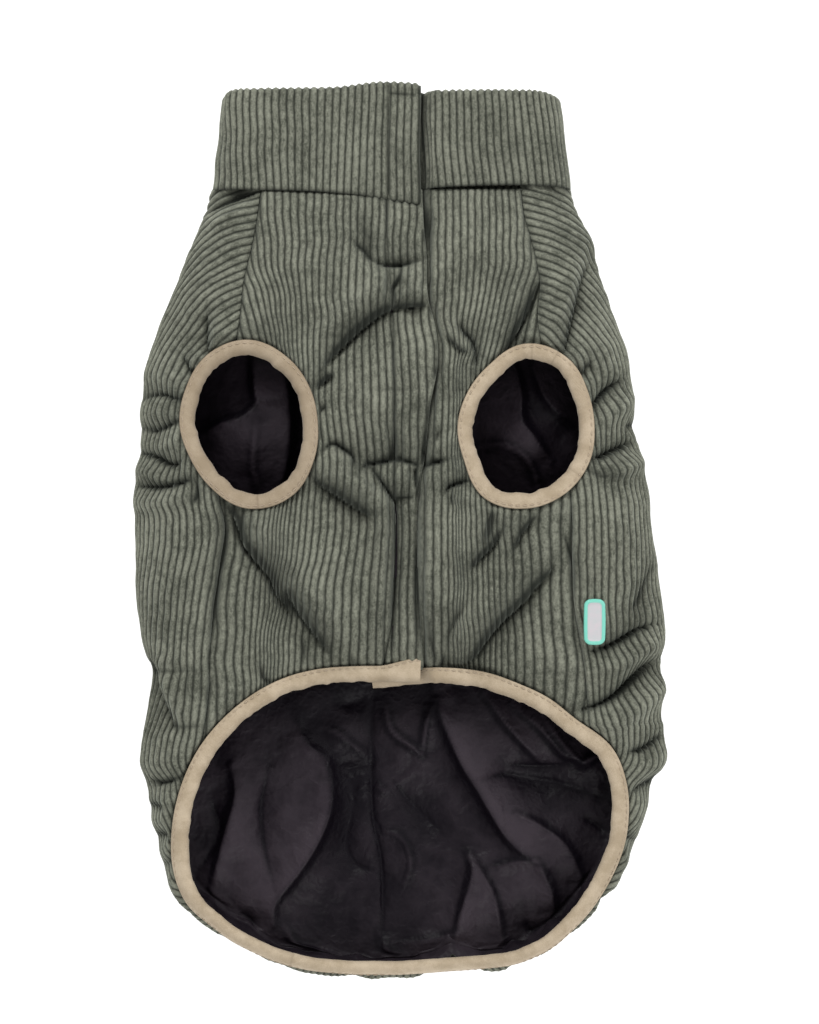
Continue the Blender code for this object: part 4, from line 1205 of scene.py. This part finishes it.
whole_loop = along_loop(collar_loop(180.0), np.array([0.0, 0.5, 1.0]))[2]
collar_wales = np.concatenate([k + np.array(WALE_PLACES) for k in range(int(whole_loop / WALE))])
collar_at = collar_wales * WALE / whole_loop
COLLAR_ROWS = 42
COLLAR_FROM = 152.0  # the loops that give its form are taken from this y
COLLAR_RISE = 52.0  # over this much of the neck
FOLD_RADIUS = COLLAR_WALL / 2
outer = []
for share in np.linspace(0, 1, COLLAR_ROWS):
    point, normal, _ = along_loop(collar_loop(COLLAR_FROM + COLLAR_RISE * share), collar_at)
    outer.append(np.column_stack([point[:, 0], point[:, 1], normal]))
outer = np.array(outer)
middle_x = outer[COLLAR_ROWS // 2, :, 0]
over_part = collar_at < 0.5
neck_y, top_y = (
    np.where(
        over_part,
        spline(*OVER_COLLAR[[0, column]], middle_x),
        spline(*UNDER_COLLAR[[0, column]], middle_x),
    )
    for column in (1, 2)
)
share = np.linspace(0, 1, COLLAR_ROWS)[:, None]
y = neck_y + (top_y - FOLD_RADIUS - neck_y) * share
on_top = smooth_step(0.35, 0.9, outer[..., 3])
on_floor = smooth_step(0.8, 0.98, -outer[..., 3])
wale_row = np.broadcast_to(collar_wales, y.shape)
strip_step = 0.9 * smooth_step(COLLAR_STRIP, COLLAR_STRIP + 1.6, outer[..., 0]) * over_part * on_top
strip_seam = 1.6 * np.exp(-(((outer[..., 0] - COLLAR_STRIP) / 0.9) ** 2)) * over_part * on_top
loft = 1.1 * soft_noise(outer[..., 0], y, 24, 31) + 0.45 * soft_noise(outer[..., 0], y, 9, 32)
over_neck = COLLAR_LIP * np.exp(-(y - neck_y) / 3) - 1.4 * np.exp(-(y - neck_y) / 0.8)
free_end = 0.9 * np.exp(-np.maximum(COLLAR_OVER_END - outer[..., 0], 0) / 1.0) * over_part * on_top
across_strip = smooth_step(0, 1.5, outer[..., 0] - COLLAR_STRIP) * over_part * on_top
strip_seam += 1.3 * np.exp(-(((y - STRIP_TOP) / 1.0) ** 2)) * across_strip
lift = strip_step - strip_seam + loft * (1 - on_floor) + over_neck * on_top - free_end
lift -= wale_relief(wale_row) * (1 - on_floor)
drift = 0.8 * soft_noise(outer[..., 0], y, 22, 33) * on_top
left_end = smooth_step(20, 66, -outer[..., 0]) * on_top
drift += left_end * (2.2 * (1 - smooth_step(0, 0.5, share)) - 2.4 * smooth_step(0.5, 1.0, share))
face = np.stack([outer[..., 0] + drift, y, outer[..., 1]], axis=-1)
normals = np.stack([outer[..., 2], 0 * y, outer[..., 3]], axis=-1)
face += normals * lift[..., None]
face[..., 2] = np.maximum(face[..., 2], 0.0)
rows = list(face)
fold_radius = FOLD_RADIUS - wale_relief(collar_wales)
for angle in np.radians(np.linspace(15, 180, 12)):
    bend = normals[-1] * (math.cos(angle) - 1) + np.array([0, math.sin(angle), 0])
    rows.append(face[-1] + bend * fold_radius[:, None])
inside_y = np.linspace(0, 1, 16)[1:, None] * (neck_y - (top_y - FOLD_RADIUS)) + (top_y - FOLD_RADIUS)
for line in inside_y:
    share = ((top_y - FOLD_RADIUS - line) / (top_y - FOLD_RADIUS - neck_y))[:, None]
    inner = face[-1] * (1 - share) + face[0] * share - normals[-1] * COLLAR_WALL * (1 - 0.25 * share)
    inner[:, 1] = line
    rows.append(inner)
places = np.array(rows)
places[..., 2] = np.maximum(places[..., 2], 0.0)
wale_rows = np.broadcast_to(collar_wales, places.shape[:2])
row_steps = np.linalg.norm(np.diff(places, axis=0), axis=2).mean(axis=1)
along_rows = NECK_Y + np.concatenate([[0], np.cumsum(row_steps)])[:, None] + 0 * wale_rows
# Painted shade: along the doubled strip's seams, under the collar's lip at the neck seam, beneath the over end
# on the under part, and over the whole collar, uneven and darker towards the neck.
top_shade = np.exp(-(((places[..., 0] - COLLAR_STRIP) / 0.7) ** 2)) * over_part
on_strip = over_part & (places[..., 0] > COLLAR_STRIP) & (normals[-1][:, 2] > 0)
top_shade = np.maximum(top_shade, np.exp(-(((places[..., 1] - STRIP_TOP) / 0.8) ** 2)) * on_strip)
neck_shade = np.zeros(places.shape[:2])
neck_shade[0] = 0.9
neck_shade[1] = 0.35
painted_collar_shade = 0.11 + 0.07 * soft_noise(places[..., 0], places[..., 1], 30, 34) - 0.0012 * (places[..., 1] - 180)
beneath = ~over_part * np.exp(-np.abs(places[..., 0] - COLLAR_OVER_END - 1.6) / 1.5)
shade = np.maximum.reduce([top_shade * 0.8, neck_shade, painted_collar_shade, 0.9 * beneath])
END_STEPS = ((0.45, 0.4), (0.8, 1.2), (0.9, 2.6), (0.9, 4.4), (0.8, 6.0))
ends = [places[:, :1] + np.array([out, 0, -down]) for out, down in END_STEPS]
places = np.concatenate([*ends[::-1], places], axis=1)
wale_rows, along_rows, shade = (
    np.concatenate([np.repeat(part[:, :1], len(END_STEPS), axis=1), part], axis=1)
    for part in (wale_rows, along_rows, shade)
)
collar_layers = {"wale": wale_rows, "along": along_rows, "shade": shade}
collar = cloth("collar_cloth", places, corduroy, None, collar_layers)
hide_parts("collar")


# The lining: dark satin, cut like the back and the fronts, loose on the padding and puckered along its seams.
# The back's two halves are sewn to each other down the middle.
LINING_DEPTH = 6.2  # under the outside of the cloth
LINING_RIDGES = [
    # path of (x, y), height, reach to its left and to its right
    # the tail, from left to right
    (((-88.6, -125.4), (-84.6, -134.8), (-84.2, -142.9), (-93.3, -157.7)), -4, 4, 4),
    (((-77.8, -109.2), (-76.5, -124), (-81.2, -140.2), (-83.9, -152.3), (-87.3, -167.2)), 6, 12, 4),
    (((-60.9, -109.2), (-64.3, -125.4), (-64.7, -136.1), (-63, -148.3), (-58.3, -167.2)), -5, 7, 4),
    ((
        (-48.1, -90.3), (-43.4, -99.7), (-34, -107.8), (-31.9, -125.4),
        (-36.7, -141.5), (-47.5, -159.1), (-58.3, -172.6), (-59.6, -183.4),
    ), 7, 4.5, 18),
    (((-74.4, -176.6), (-69, -182), (-70.4, -186.1)), -4, 4, 4),
    (((-54.2, -183.4), (-47.5, -194.2), (-38, -200.9)), 3, 5, 5),
    (((-28.6, -82.2), (-21.8, -80.1), (-14.4, -78.1)), -3.5, 3, 6),
    (((-36.7, -91.6), (-28.6, -95), (-21.8, -100.4), (-15.1, -105.1)), 3, 6, 6),
    (((-35.3, -109.2), (-25.9, -111.2), (-14.4, -110.2)), -3.5, 4, 7),
    (((-24.5, -113.2), (-22.5, -129.4), (-25.9, -145.6), (-20.5, -156.4), (-13, -157.7)), -4.5, 7, 8),
    (((-13, -71.4), (-13.7, -98.4), (-13, -132.1), (-9, -153.7), (-8.3, -182), (-9.7, -195.5)), -2.4, 2, 2),
    (((-20.5, -121.3), (-13.7, -116.6)), 1.8, 3, 3),
    (((-12.4, -118.6), (-6.3, -122)), 1.8, 3, 3),
    (((-11.7, -134.8), (-8.3, -142.2)), -1.6, 2.5, 2.5),
    (((-8.3, -140.2), (-0.2, -142.9), (4.5, -153.7), (1.8, -164.5)), 2.2, 4, 5),
    (((-7, -82.2), (-4.3, -93), (3.8, -99.7), (9.2, -103.8)), 4, 5, 5),
    (((15.3, -79.5), (11.9, -90.3), (10.3, -103.8)), 4, 5, 4),
    (((-2.9, -117.3), (6.5, -129.4), (20, -141.5)), -5, 12, 12),
    ((
        (15.3, -72.7), (20, -88.9), (28.1, -107.8),
        (36.2, -121.3), (49.7, -142.9), (63.2, -153.7),
    ), 9, 22, 4.5),
    (((63.2, -153.7), (69.3, -167.2), (70.6, -178)), 5, 5, 14),
    (((31.5, -151), (33.5, -159.1), (28.1, -179.3), (25.4, -191.5)), 5.5, 9, 4),
    (((32.2, -151), (41.6, -167.2), (45, -179.3), (47, -194.2)), 4, 4, 8),
    (((41.6, -157.7), (53.7, -154.4), (62.5, -154)), 3, 4, 9),
    (((37.6, -116.6), (47, -113.9), (60.5, -116.6), (74, -118.6), (91.5, -124)), -5, 5, 15),
    (((49.7, -109.2), (61.8, -109.8), (78, -109.2)), -4, 4, 6),
    (((38.9, -75.4), (48.3, -88.9), (57.8, -99.7), (65.9, -107.8)), 5, 7, 4),
    (((52.4, -80.8), (64.5, -91.6), (75.3, -103.8), (82.1, -106.5)), 5, 6, 4),
    (((65.9, -86.2), (72.6, -95.7), (80.7, -105.1), (87.5, -109.2)), 4, 4, 3),
    (((80.7, -110.5), (87.5, -106.5), (92.9, -103.8)), 4, 4, 4),
    (((53.7, -132.1), (64.5, -137.5), (75.3, -145.6), (82.1, -157.7), (83.4, -164.5)), 4.5, 5, 9),
    (((84.8, -134.1), (95.6, -140.2)), -3, 3, 3),
    (((57.8, -180.7), (60.5, -186.7), (71.3, -180.7)), -3.5, 3.5, 3.5),
    (((-9.7, -186.1), (-7, -194.2), (1.1, -199.6)), 3, 6, 6),
    (((1.1, -192.1), (17.3, -190.1), (28.1, -186.1)), 3, 5, 7),
    # under the left leg hole
    (((-68.1, 80), (-67, 66.9), (-65.8, 58.4)), 7, 12, 3),
    (((-65.8, 58.4), (-71.9, 51.9), (-83.1, 48.1), (-91.6, 43.4)), 5, 8, 5),
    (((-55, 76.3), (-51.7, 57.5), (-52.1, 34), (-56.8, 17.1)), 8, 4, 14),
    (((-66.2, 50), (-68.1, 29.3), (-64.3, 16.2)), 2.5, 5, 5),
    # under the right leg hole
    (((51.6, 78.2), (55.3, 62.2), (55.3, 50.9), (61, 42.5), (68.5, 31.2)), 8, 4, 14),
    (((61.9, 75.3), (65.7, 63.1), (72.2, 54.7), (82.6, 48.1)), 7, 10, 4),
    (((35.6, 37.8), (46.9, 38.7), (55.3, 35), (61, 27.5), (63.8, 18.1)), 3.5, 5, 5),
]


LINING_SWELLS = [
    # x, y, height, reach
    (-72.0, 44.0, 13.0, 32.0),
    (60.0, 44.0, 13.0, 32.0),
]


def satin_finish():
    """Thin aubergine satin with a low sheen and a very fine weave. Its colour carries the painted light and
    shade of its "lit" layer and painted shade in the valleys of its fine crumples.
    """
    finish = Finish(
        "lining_satin_cloth",
        Roughness=0.46,
        Specular_IOR_Level=0.11,
    )
    place = finish.place()
    patch = finish.noise(place, 26.0, 3.0)
    crumple = (finish.noise(place, 15.0, 3.0) - 0.5).math("ABSOLUTE") * -4.0
    # painted light and shade from the "lit" layer, an uneven tone in patches, and painted shade in the
    # crumples' valleys
    tone = finish.layer("lit") + (patch - 0.5) * 0.5 + crumple * 0.25
    satin_colour = finish.mix(finish.step(tone, -0.2, 1.0), (0.0046, 0.0032, 0.0056), (0.042, 0.033, 0.041))
    finish.feed("Base Color", satin_colour)
    weave = finish.noise(place, 0.3, 1.0)
    finish.bump(crumple * 1.3 + finish.noise(place, 9.0, 2.0) * 0.5 + weave * 0.04, 0.7, 0.7)
    return finish.material


satin = satin_finish()


def ridged(x, y, sharpness=1.05):
    """Height of the lining's folds, and how light or dark they leave it."""
    places = np.stack([np.ravel(x), np.ravel(y)], axis=1)
    total, lit = np.zeros(len(places)), np.zeros(len(places))
    for centre_x, centre_y, height, reach in LINING_SWELLS:
        near = np.exp(-(((places[:, 0] - centre_x) ** 2 + (places[:, 1] - centre_y) ** 2) / reach**2))
        total += height * near
        lit += 0.06 * near
    for path, height, left, right in LINING_RIDGES:
        _, away, share, side = nearest_on(path, places)
        side = side * (1 - np.exp(-((away / 1.3) ** 2)))
        reach = right + (left - right) * (0.5 + 0.5 * side)
        strength = np.sin(np.pi * np.clip(share, 0.04, 0.96)) ** 0.5
        total += strength * height * np.exp(-((away / reach) ** sharpness))
        clear = strength * min(1.0, abs(height) / 5)
        if height < 0:
            lit -= clear * (0.45 * np.exp(-((away / 1.1) ** 2)) + 0.35 * np.exp(-away / reach))
            continue
        open_side = side * (left - right) / (left + right)
        lit += clear * (0.9 * open_side * np.exp(-away / reach) + 0.25 * np.exp(-((away / 1.0) ** 2)))
        lit -= clear * 0.5 * np.exp(-(((away - 2.0) / 1.3) ** 2)) * (open_side < 0.1)
    return total.reshape(np.shape(x)), lit.reshape(np.shape(x))


LINING_STEPS = (20, 12, 100)
BOUND_FROM = -114.0  # the back's edge is bound with the hem tape below this y
HEM_LIFT = 1.4  # how far the lining goes up behind that tape
parts = back_stations(1.5, 1.6, 360)
places, normals, spans, shares, _, _ = back_grid(parts, LINING_STEPS)
upper = np.arange(places.shape[1]) <= LINING_STEPS[0]
x, y = places[..., 0], places[..., 1]
_, _, cut = at_leg_holes(places, np.broadcast_to(upper, shares.shape))
on_floor = 1 - smooth_step(0.2, 1.0, shares)
from_edge = smooth_step(2, 14, spans)
loose = 1.2 * soft_noise(x, y, 30, 41) + 0.7 * soft_noise(x, y, 13, 42) + 0.35 * soft_noise(x, y, 6, 43)
follow = np.maximum(creased(x, y)[0], 0) * smooth_step(0.08, 0.9, shares)
ridges, lit = ridged(x, y)
follow *= np.where(y < BOUND_FROM, from_edge, 1)
depth = LINING_DEPTH + follow + from_edge * (ridges * on_floor + 1.2 + loose)
# Painted light and shade on the lining: light on the open sides of its folds and over its swells under the leg
# holes, shade in their valleys and beneath the fronts, and uneven with its looseness.
lit = 0.27 + 1.15 * lit * on_floor + loose / 7 - 0.2 * smooth_step(-96.0, -76.0, y) * (y < 0)
places -= normals * depth[..., None]
places[:, 0, 2] += HEM_LIFT * (y[:, 0] < BOUND_FROM)
lining = cloth("back_lining", places, satin, cut, {"lit": lit}, flip=True)
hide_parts("lining_left", "lining_right")


def line_front(name, left, right, bottom, drop):
    """The lining of one front, as a thin skin inside its padding."""
    columns, rows = 40, 90
    share_x = np.linspace(0, 1, columns)[None, :]
    share_y = np.linspace(0, 1, rows)[:, None]
    y = NECK_Y + (CLOSING_BAND[0, 0] - NECK_Y) * share_y + 0 * share_x
    for _ in range(4):
        x = left(y) + (right(y) - left(y)) * share_x
        y = NECK_Y + (bottom(x) + 2.0 - NECK_Y) * share_y
    thick = LINING_DEPTH - 1.0 * smooth_step(-22, -14, x) * (drop is None)
    push = np.maximum(creased(x, y)[0] - swell(x, y), 0)
    lowered = 0 if drop is None else drop(x, y)
    height = front_height(x, y) - thick - push - lowered + 0.25 * soft_noise(x, y, 14, 44)
    places = np.stack([x, y, height], axis=-1)
    _, _, cut = at_leg_holes(places, np.ones(x.shape, bool))
    skin = cloth(name, places, satin, cut, {"lit": np.full(x.shape, 0.4)})


line_front(
    "over_front_lining",
    lambda y: body("seam_left", y) - 0.3,
    lambda y: band_edge(y) - 0.8,
    front_edge_y,
    None,
)
line_front(
    "under_front_lining",
    lambda y: band_edge(y) - FLAP_REACH,
    lambda y: body("seam_right", y) + 0.3,
    under_edge_y,
    flap_drop,
)


# The bindings: beige cotton tape, folded over the raw edges of the leg holes and the hem and sewn through
# close to its outer edge. Each leg hole's tape is joined into a ring, and the hem's two ends lap at the
# middle of the front.
LEG_TAPE_DIP = 10.0
TAPE_LEVEL = -0.35  # how far its face stands over the cloth's edge
STITCH_LENGTH = 2.3
STITCH_GAP = 1.0
THREAD_RADIUS = 0.24
THREAD_SIDES = 6
# One stitch: the share of its length passed, its rise, and its thickness as a share of the thread's.
STITCH_BOW = ((0.0, -0.25, 0.5), (0.18, 0.08, 0.9), (0.5, 0.2, 1.0), (0.82, 0.08, 0.9), (1.0, -0.25, 0.5))
STITCH_LINE = 2.6

# The folded tape's section, from its sewn edge on the face over the bound edge to its sewn edge inside.
TAPE_SECTION = np.array([
    # across, out
    (3.85, 0.9),
    (3.9, 1.6),
    (3.6, 2.0),
    (2.7, 1.98),
    (2.05, 2.3),
    (0.9, 2.55),
    (-0.6, 2.45),
    (-1.9, 1.95),
    (-3.0, 1.0),
    (-3.55, -0.3),
    (-3.3, -1.6),
    (-2.2, -2.45),
    (0.5, -2.6),
    (3.2, -2.5),
])


def tape_finish():
    """Beige cotton twill tape: fine ribs, a matt face, and a little grey where it is handled. One layer
    darkens it at its joins, along its outer fold, and with painted shade over a whole tape that lies in shade.
    """
    finish = Finish(
        "binding_tape",
        Roughness=0.88,
        Specular_IOR_Level=0.25,
        Sheen_Weight=0.15,
        Sheen_Roughness=0.5,
    )
    place = finish.place()
    twill = {"wave_type": "BANDS", "bands_direction": "DIAGONAL"}
    rib = finish.node("TexWave", twill, output=1, Vector=place, Scale=420.0, Distortion=1.2)
    worn = finish.noise(place, 9.0, 3.0)
    fine = finish.noise(place, 0.45, 2.0)
    tone = finish.step(worn * 0.7 + fine * 0.35, 0.35, 0.75)
    cotton = finish.mix(tone, (0.39, 0.31, 0.212), (0.56, 0.462, 0.338))
    # darker at the tape's joins and outer fold, and painted shade over a whole tape that lies in shade
    finish.feed("Base Color", finish.mix(finish.layer("join_and_shade") * 0.35, cotton, (0.2, 0.15, 0.1)))
    finish.bump(rib * 0.4 + fine * 0.7, 0.12, 0.6)
    return finish.material


def thread_finish(name, colour):
    """Spun polyester sewing thread."""
    finish = Finish(name, Roughness=0.7, Specular_IOR_Level=0.3)
    twist = finish.noise(finish.place(), 0.35, 1.0)
    darker = tuple(0.7 * part for part in colour)
    finish.feed("Base Color", finish.mix(twist, darker, colour))
    finish.bump(twist, 0.08)
    return finish.material


tape_cotton = tape_finish()
tape_thread = thread_finish("tape_thread", (0.52, 0.42, 0.31))


def stitches(name, line, up, finish):
    """A row of stitches along a line: short rounded threads whose ends dive into the cloth."""
    along = walked(line)
    count = int(along[-1] / (STITCH_LENGTH + STITCH_GAP))
    points, faces = [], []
    for k in range(count):
        start = k * (STITCH_LENGTH + STITCH_GAP)
        base = len(points)
        for share, rise, thick in STITCH_BOW:
            at = start + share * STITCH_LENGTH
            spot = np.array([np.interp(at, along, column) for column in line.T])
            ahead = np.array([np.interp(at + 0.3, along, column) for column in line.T])
            lift = np.array([np.interp(at, along, column) for column in up.T])
            run = ahead - spot
            run /= max(np.linalg.norm(run), 1e-9)
            across = np.cross(run, lift)
            for turn in np.linspace(0, 2 * np.pi, THREAD_SIDES + 1)[:-1]:
                ring = THREAD_RADIUS * thick * (np.cos(turn) * across + np.sin(turn) * lift)
                points.append((spot + lift * rise + ring) * MM)
        for ring in range(len(STITCH_BOW) - 1):
            for side in range(THREAD_SIDES):
                a = base + ring * THREAD_SIDES + side
                b = base + ring * THREAD_SIDES + (side + 1) % THREAD_SIDES
                faces.append((a, b, b + THREAD_SIDES, a + THREAD_SIDES))
        last = base + (len(STITCH_BOW) - 1) * THREAD_SIDES
        faces.append(tuple(range(base, base + THREAD_SIDES))[::-1])
        faces.append(tuple(range(last, last + THREAD_SIDES)))
    mesh = bpy.data.meshes.new(name)
    mesh.from_pydata(points, [], faces)
    mesh.shade_smooth()
    mesh.materials.append(finish)
    row = bpy.data.objects.new(name, mesh)
    bpy.context.scene.collection.objects.link(row)
    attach(row, "root")
    return row


def tape(name, middle, across, out, joins, closed, flare=None, painted_shade=0.0):
    """A folded tape along its middle line. across and out are its two directions, and joins are its seams'
    places."""
    along = walked(middle)
    wide, thick = TAPE_SECTION[None, :, :1], TAPE_SECTION[None, :, 1:]
    seed = 50 + len(name)
    pucker = 0.38 * soft_noise(along, 0 * along, 5.5, seed)
    pucker = pucker + 0.26 * soft_noise(along, 0 * along, 2.4, seed + 1)
    wave = 0.3 * soft_noise(along, 0 * along, 13, seed + 2)
    if closed:
        fade = smooth_step(0, 8, along) * smooth_step(0, 8, along[-1] - along)
        pucker, wave = pucker * fade, wave * fade
    inner = np.clip(-wide / 3.5 + 0.1, 0, 1)
    width = wide - pucker[:, None, None] * inner
    height = thick + TAPE_LEVEL + wave[:, None, None] + 0.8 * pucker[:, None, None] * inner * (thick > 0)
    if flare is not None:
        width = width + flare(along)[:, None, None] * (wide > 1)
    places = middle[:, None] + width * across[:, None] + height * out[:, None]
    # the join marks, to which the outer fold's darkening and the painted shade are added below
    join_and_shade = np.zeros(len(along))
    for place in joins:
        join_and_shade += np.exp(-(((along - place) / 0.5) ** 2))
    if closed:
        places[-1] = places[0]
    # the outer fold edge is darkened: partly a brownish line along it, partly painted shade where the tape
    # turns down to the cloth
    edge = np.where(TAPE_SECTION[:, 0] > 3.7, 1.4, 0.0)
    layers = {"join_and_shade": np.minimum(join_and_shade, 1)[:, None] + edge[None, :] + painted_shade}
    strip = cloth(name, places, tape_cotton, None, layers)
    return strip, along


def tape_stitches(name, middle, across, out, flare=None, along=None):
    reach = STITCH_LINE if flare is None else STITCH_LINE + flare(along)[:, None]
    line = middle + across * reach + out * (2.12 + TAPE_LEVEL)
    return stitches(name, line, out, tape_thread)


def side_height(side, x, y):
    """Height of the back's plain outside at a place on its side, seen from above."""
    sign = -1 if side == "left" else 1
    profile, _, _ = roll_profile(
        sign * body(side, y), sign * body("seam_" + side, y), body("height", y), 0.0, BACK_STEPS
    )
    roll = slice(0, BACK_STEPS[0] + 1)
    return float(np.interp(sign * x, profile[roll, 0], profile[roll, 1]))


def top_height(x, y):
    """Height of the coat's plain outside where it faces up."""
    if x < body("seam_left", y):
        return side_height("left", x, y)
    if x > body("seam_right", y):
        return side_height("right", x, y)
    return float(front_height(x, y))


LEG_TAPE_POINTS = 260
# painted shade over the whole of each leg hole's tape: heavy on the left one, which lies in shade, and light
# on the right one
LEG_TAPE_PAINTED_SHADE = {"left": 1.1, "right": 0.2}
LEG_TAPE_JOINS = {"left": (150.0,), "right": (173.0, 36.0, 47.0)}
for side in LEG_HOLES:
    line = hole_line(side, 0.0, LEG_TAPE_POINTS)
    rim = hole_line(side, TAPE_WIDTH / 2 + TAPE_GAP, LEG_TAPE_POINTS)
    z = np.array([top_height(*place) for place in rim])
    z = sum(np.roll(z, k) for k in range(-6, 7)) / 13
    dip = math.radians(LEG_TAPE_DIP)
    outer = (rim - line) / np.linalg.norm(rim - line, axis=1)[:, None]
    across = np.column_stack([outer * math.cos(dip), np.full(len(line), math.sin(dip))])
    out = np.column_stack([-outer * math.sin(dip), np.full(len(line), math.cos(dip))])
    middle = np.column_stack([line, z - WALL / 2 - (TAPE_WIDTH / 2) * math.sin(dip)])
    middle, across, out = (np.concatenate([part, part[:1]]) for part in (middle, across, out))
    name = "leg_tape_" + side + "_cotton"
    strip, _ = tape(name, middle, across, out, LEG_TAPE_JOINS[side], closed=True, painted_shade=LEG_TAPE_PAINTED_SHADE[side])
    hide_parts("leg_tape_" + side)
    thread = tape_stitches("leg_stitches_" + side, middle, across, out)


def hem_rim():
    """The cloth's edge all round the hem as (x, y, z, lean), from the over front's end round the tail to the
    under front's end."""
    left_end, right_end = body("seam_left", -93.0), body("seam_right", -93.0)
    left_x = np.linspace(CLOSING_BAND[2, 0] - 0.2, left_end + 1.0, 60)
    right_x = np.linspace(right_end - 1.0, CLOSING_BAND[2, 0] - FLAP_REACH, 60)
    left_y, right_y = front_edge_y(left_x), under_edge_y(right_x)
    right_z = front_height(right_x, right_y) - flap_drop(right_x, right_y)
    rays = back_stations(10.0, 10.0, 120)[1]
    tail = []
    for origin, direction, _, edge, height, lean in rays:
        tail.append((origin[0] + direction[0] * edge, origin[1] + direction[1] * edge, height, lean))
    return np.concatenate([
        np.stack([left_x, left_y, front_height(left_x, left_y), 0 * left_x], axis=1),
        np.array(tail),
        np.stack([right_x, right_y, right_z, 0 * right_x], axis=1),
    ])


def smoothed(line, passes):
    for _ in range(passes):
        line = np.concatenate([line[:1], (line[:-2] + 2 * line[1:-1] + line[2:]) / 4, line[-1:]])
    return line


HEM_JOINS = (236.0,)
HEM_STEP = 0.9  # between the points along it
HEM_FLARE = 4.2  # how much wider the loose end of the hem's tape is


def hem_flare(along):
    return HEM_FLARE * (1 - smooth_step(0.0, 20.0, along))


edge_line = hem_rim()
rim = smoothed(evenly(edge_line, round(walked(edge_line)[-1] / HEM_STEP)), 12)
run = np.gradient(smoothed(rim[:, :2], 6), axis=0)
run /= np.linalg.norm(run, axis=1)[:, None]
inward = np.stack([-run[:, 1], run[:, 0]], axis=1)
lean = rim[:, 3:4]
across = np.column_stack([-inward * np.cos(lean), -np.sin(lean)])
out = np.column_stack([-inward * np.sin(lean), np.cos(lean)])
middle = rim[:, :3] - across * (TAPE_WIDTH / 2 + TAPE_GAP) - out * WALL / 2
hem, along = tape("hem_tape_cotton", middle, across, out, HEM_JOINS, False, hem_flare)
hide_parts("hem_tape")
hem_thread = tape_stitches("hem_stitches", middle, across, out, hem_flare, along)


# The tab: a small moulded rubber tab with a raised rim, sewn into the right side seam. It has nothing on it.
TAB_CENTRE = (88.4, -42.0)
TAB_SIZE = (10.0, 21.0)
TAB_CORNER = 3.6
TAB_LIFT = 0.5
TAB_RIM = 1.7  # width of its mint rim
TAB_RINGS = (
    # inset from the outline, height over the cloth
    (0.0, 0.0),
    (0.0, 1.2),
    (0.25, 1.65),
    (0.75, 1.85),
    (1.5, 1.8),
    (1.9, 1.35),
    (2.6, 1.25),
    (4.4, 1.3),
)


def tab_outline(inset, count=72):
    """A rounded rectangle, as (x, y) from the tab's centre."""
    at = np.linspace(0, 2 * np.pi, count + 1)
    half_x, half_y = TAB_SIZE[0] / 2 - inset, TAB_SIZE[1] / 2 - inset
    corner = max(0.3, TAB_CORNER - inset)
    x = (half_x - corner) * np.clip(np.cos(at) * 3, -1, 1) + corner * np.cos(at)
    y = (half_y - corner) * np.clip(np.sin(at) * 3, -1, 1) + corner * np.sin(at)
    return np.stack([x, y], axis=1)


def rubber_finish():
    """Soft moulded rubber: a mint rim round a pale pink grey field."""
    finish = Finish("tab_rubber_moulded", Roughness=0.46, Specular_IOR_Level=0.45, Coat_Weight=0.1)
    place = finish.place()
    cloud = finish.noise(place, 3.0, 2.0)
    rim = finish.layer("rim")
    field = finish.mix(cloud, (0.5, 0.56, 0.56), (0.66, 0.56, 0.6))
    finish.feed("Base Color", finish.mix(rim, field, (0.21, 0.66, 0.53)))
    finish.bump(finish.noise(place, 0.5, 2.0), 0.05, 0.5)
    return finish.material


rubber = rubber_finish()
rings, rims = [], []
for inset, height in TAB_RINGS:
    ring = tab_outline(inset) + TAB_CENTRE
    ground = np.array([side_height("right", *place) for place in ring])
    ground += np.maximum(swell(*ring.T) - creased(*ring.T)[0], 0)
    rings.append(np.column_stack([ring, ground + TAB_LIFT + height]))
    rims.append(np.full(len(ring), 1.0 if inset < TAB_RIM else 0.0))
middle_point = np.mean(rings[-1][:-1], axis=0)
rings.append(np.broadcast_to(middle_point, rings[-1].shape))
rims.append(rims[-1])
rings = np.array(rings)
rings[:, -1] = rings[:, 0]
tab = cloth("side_tab", rings, rubber, None, {"rim": np.array(rims)})
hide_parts("tab")
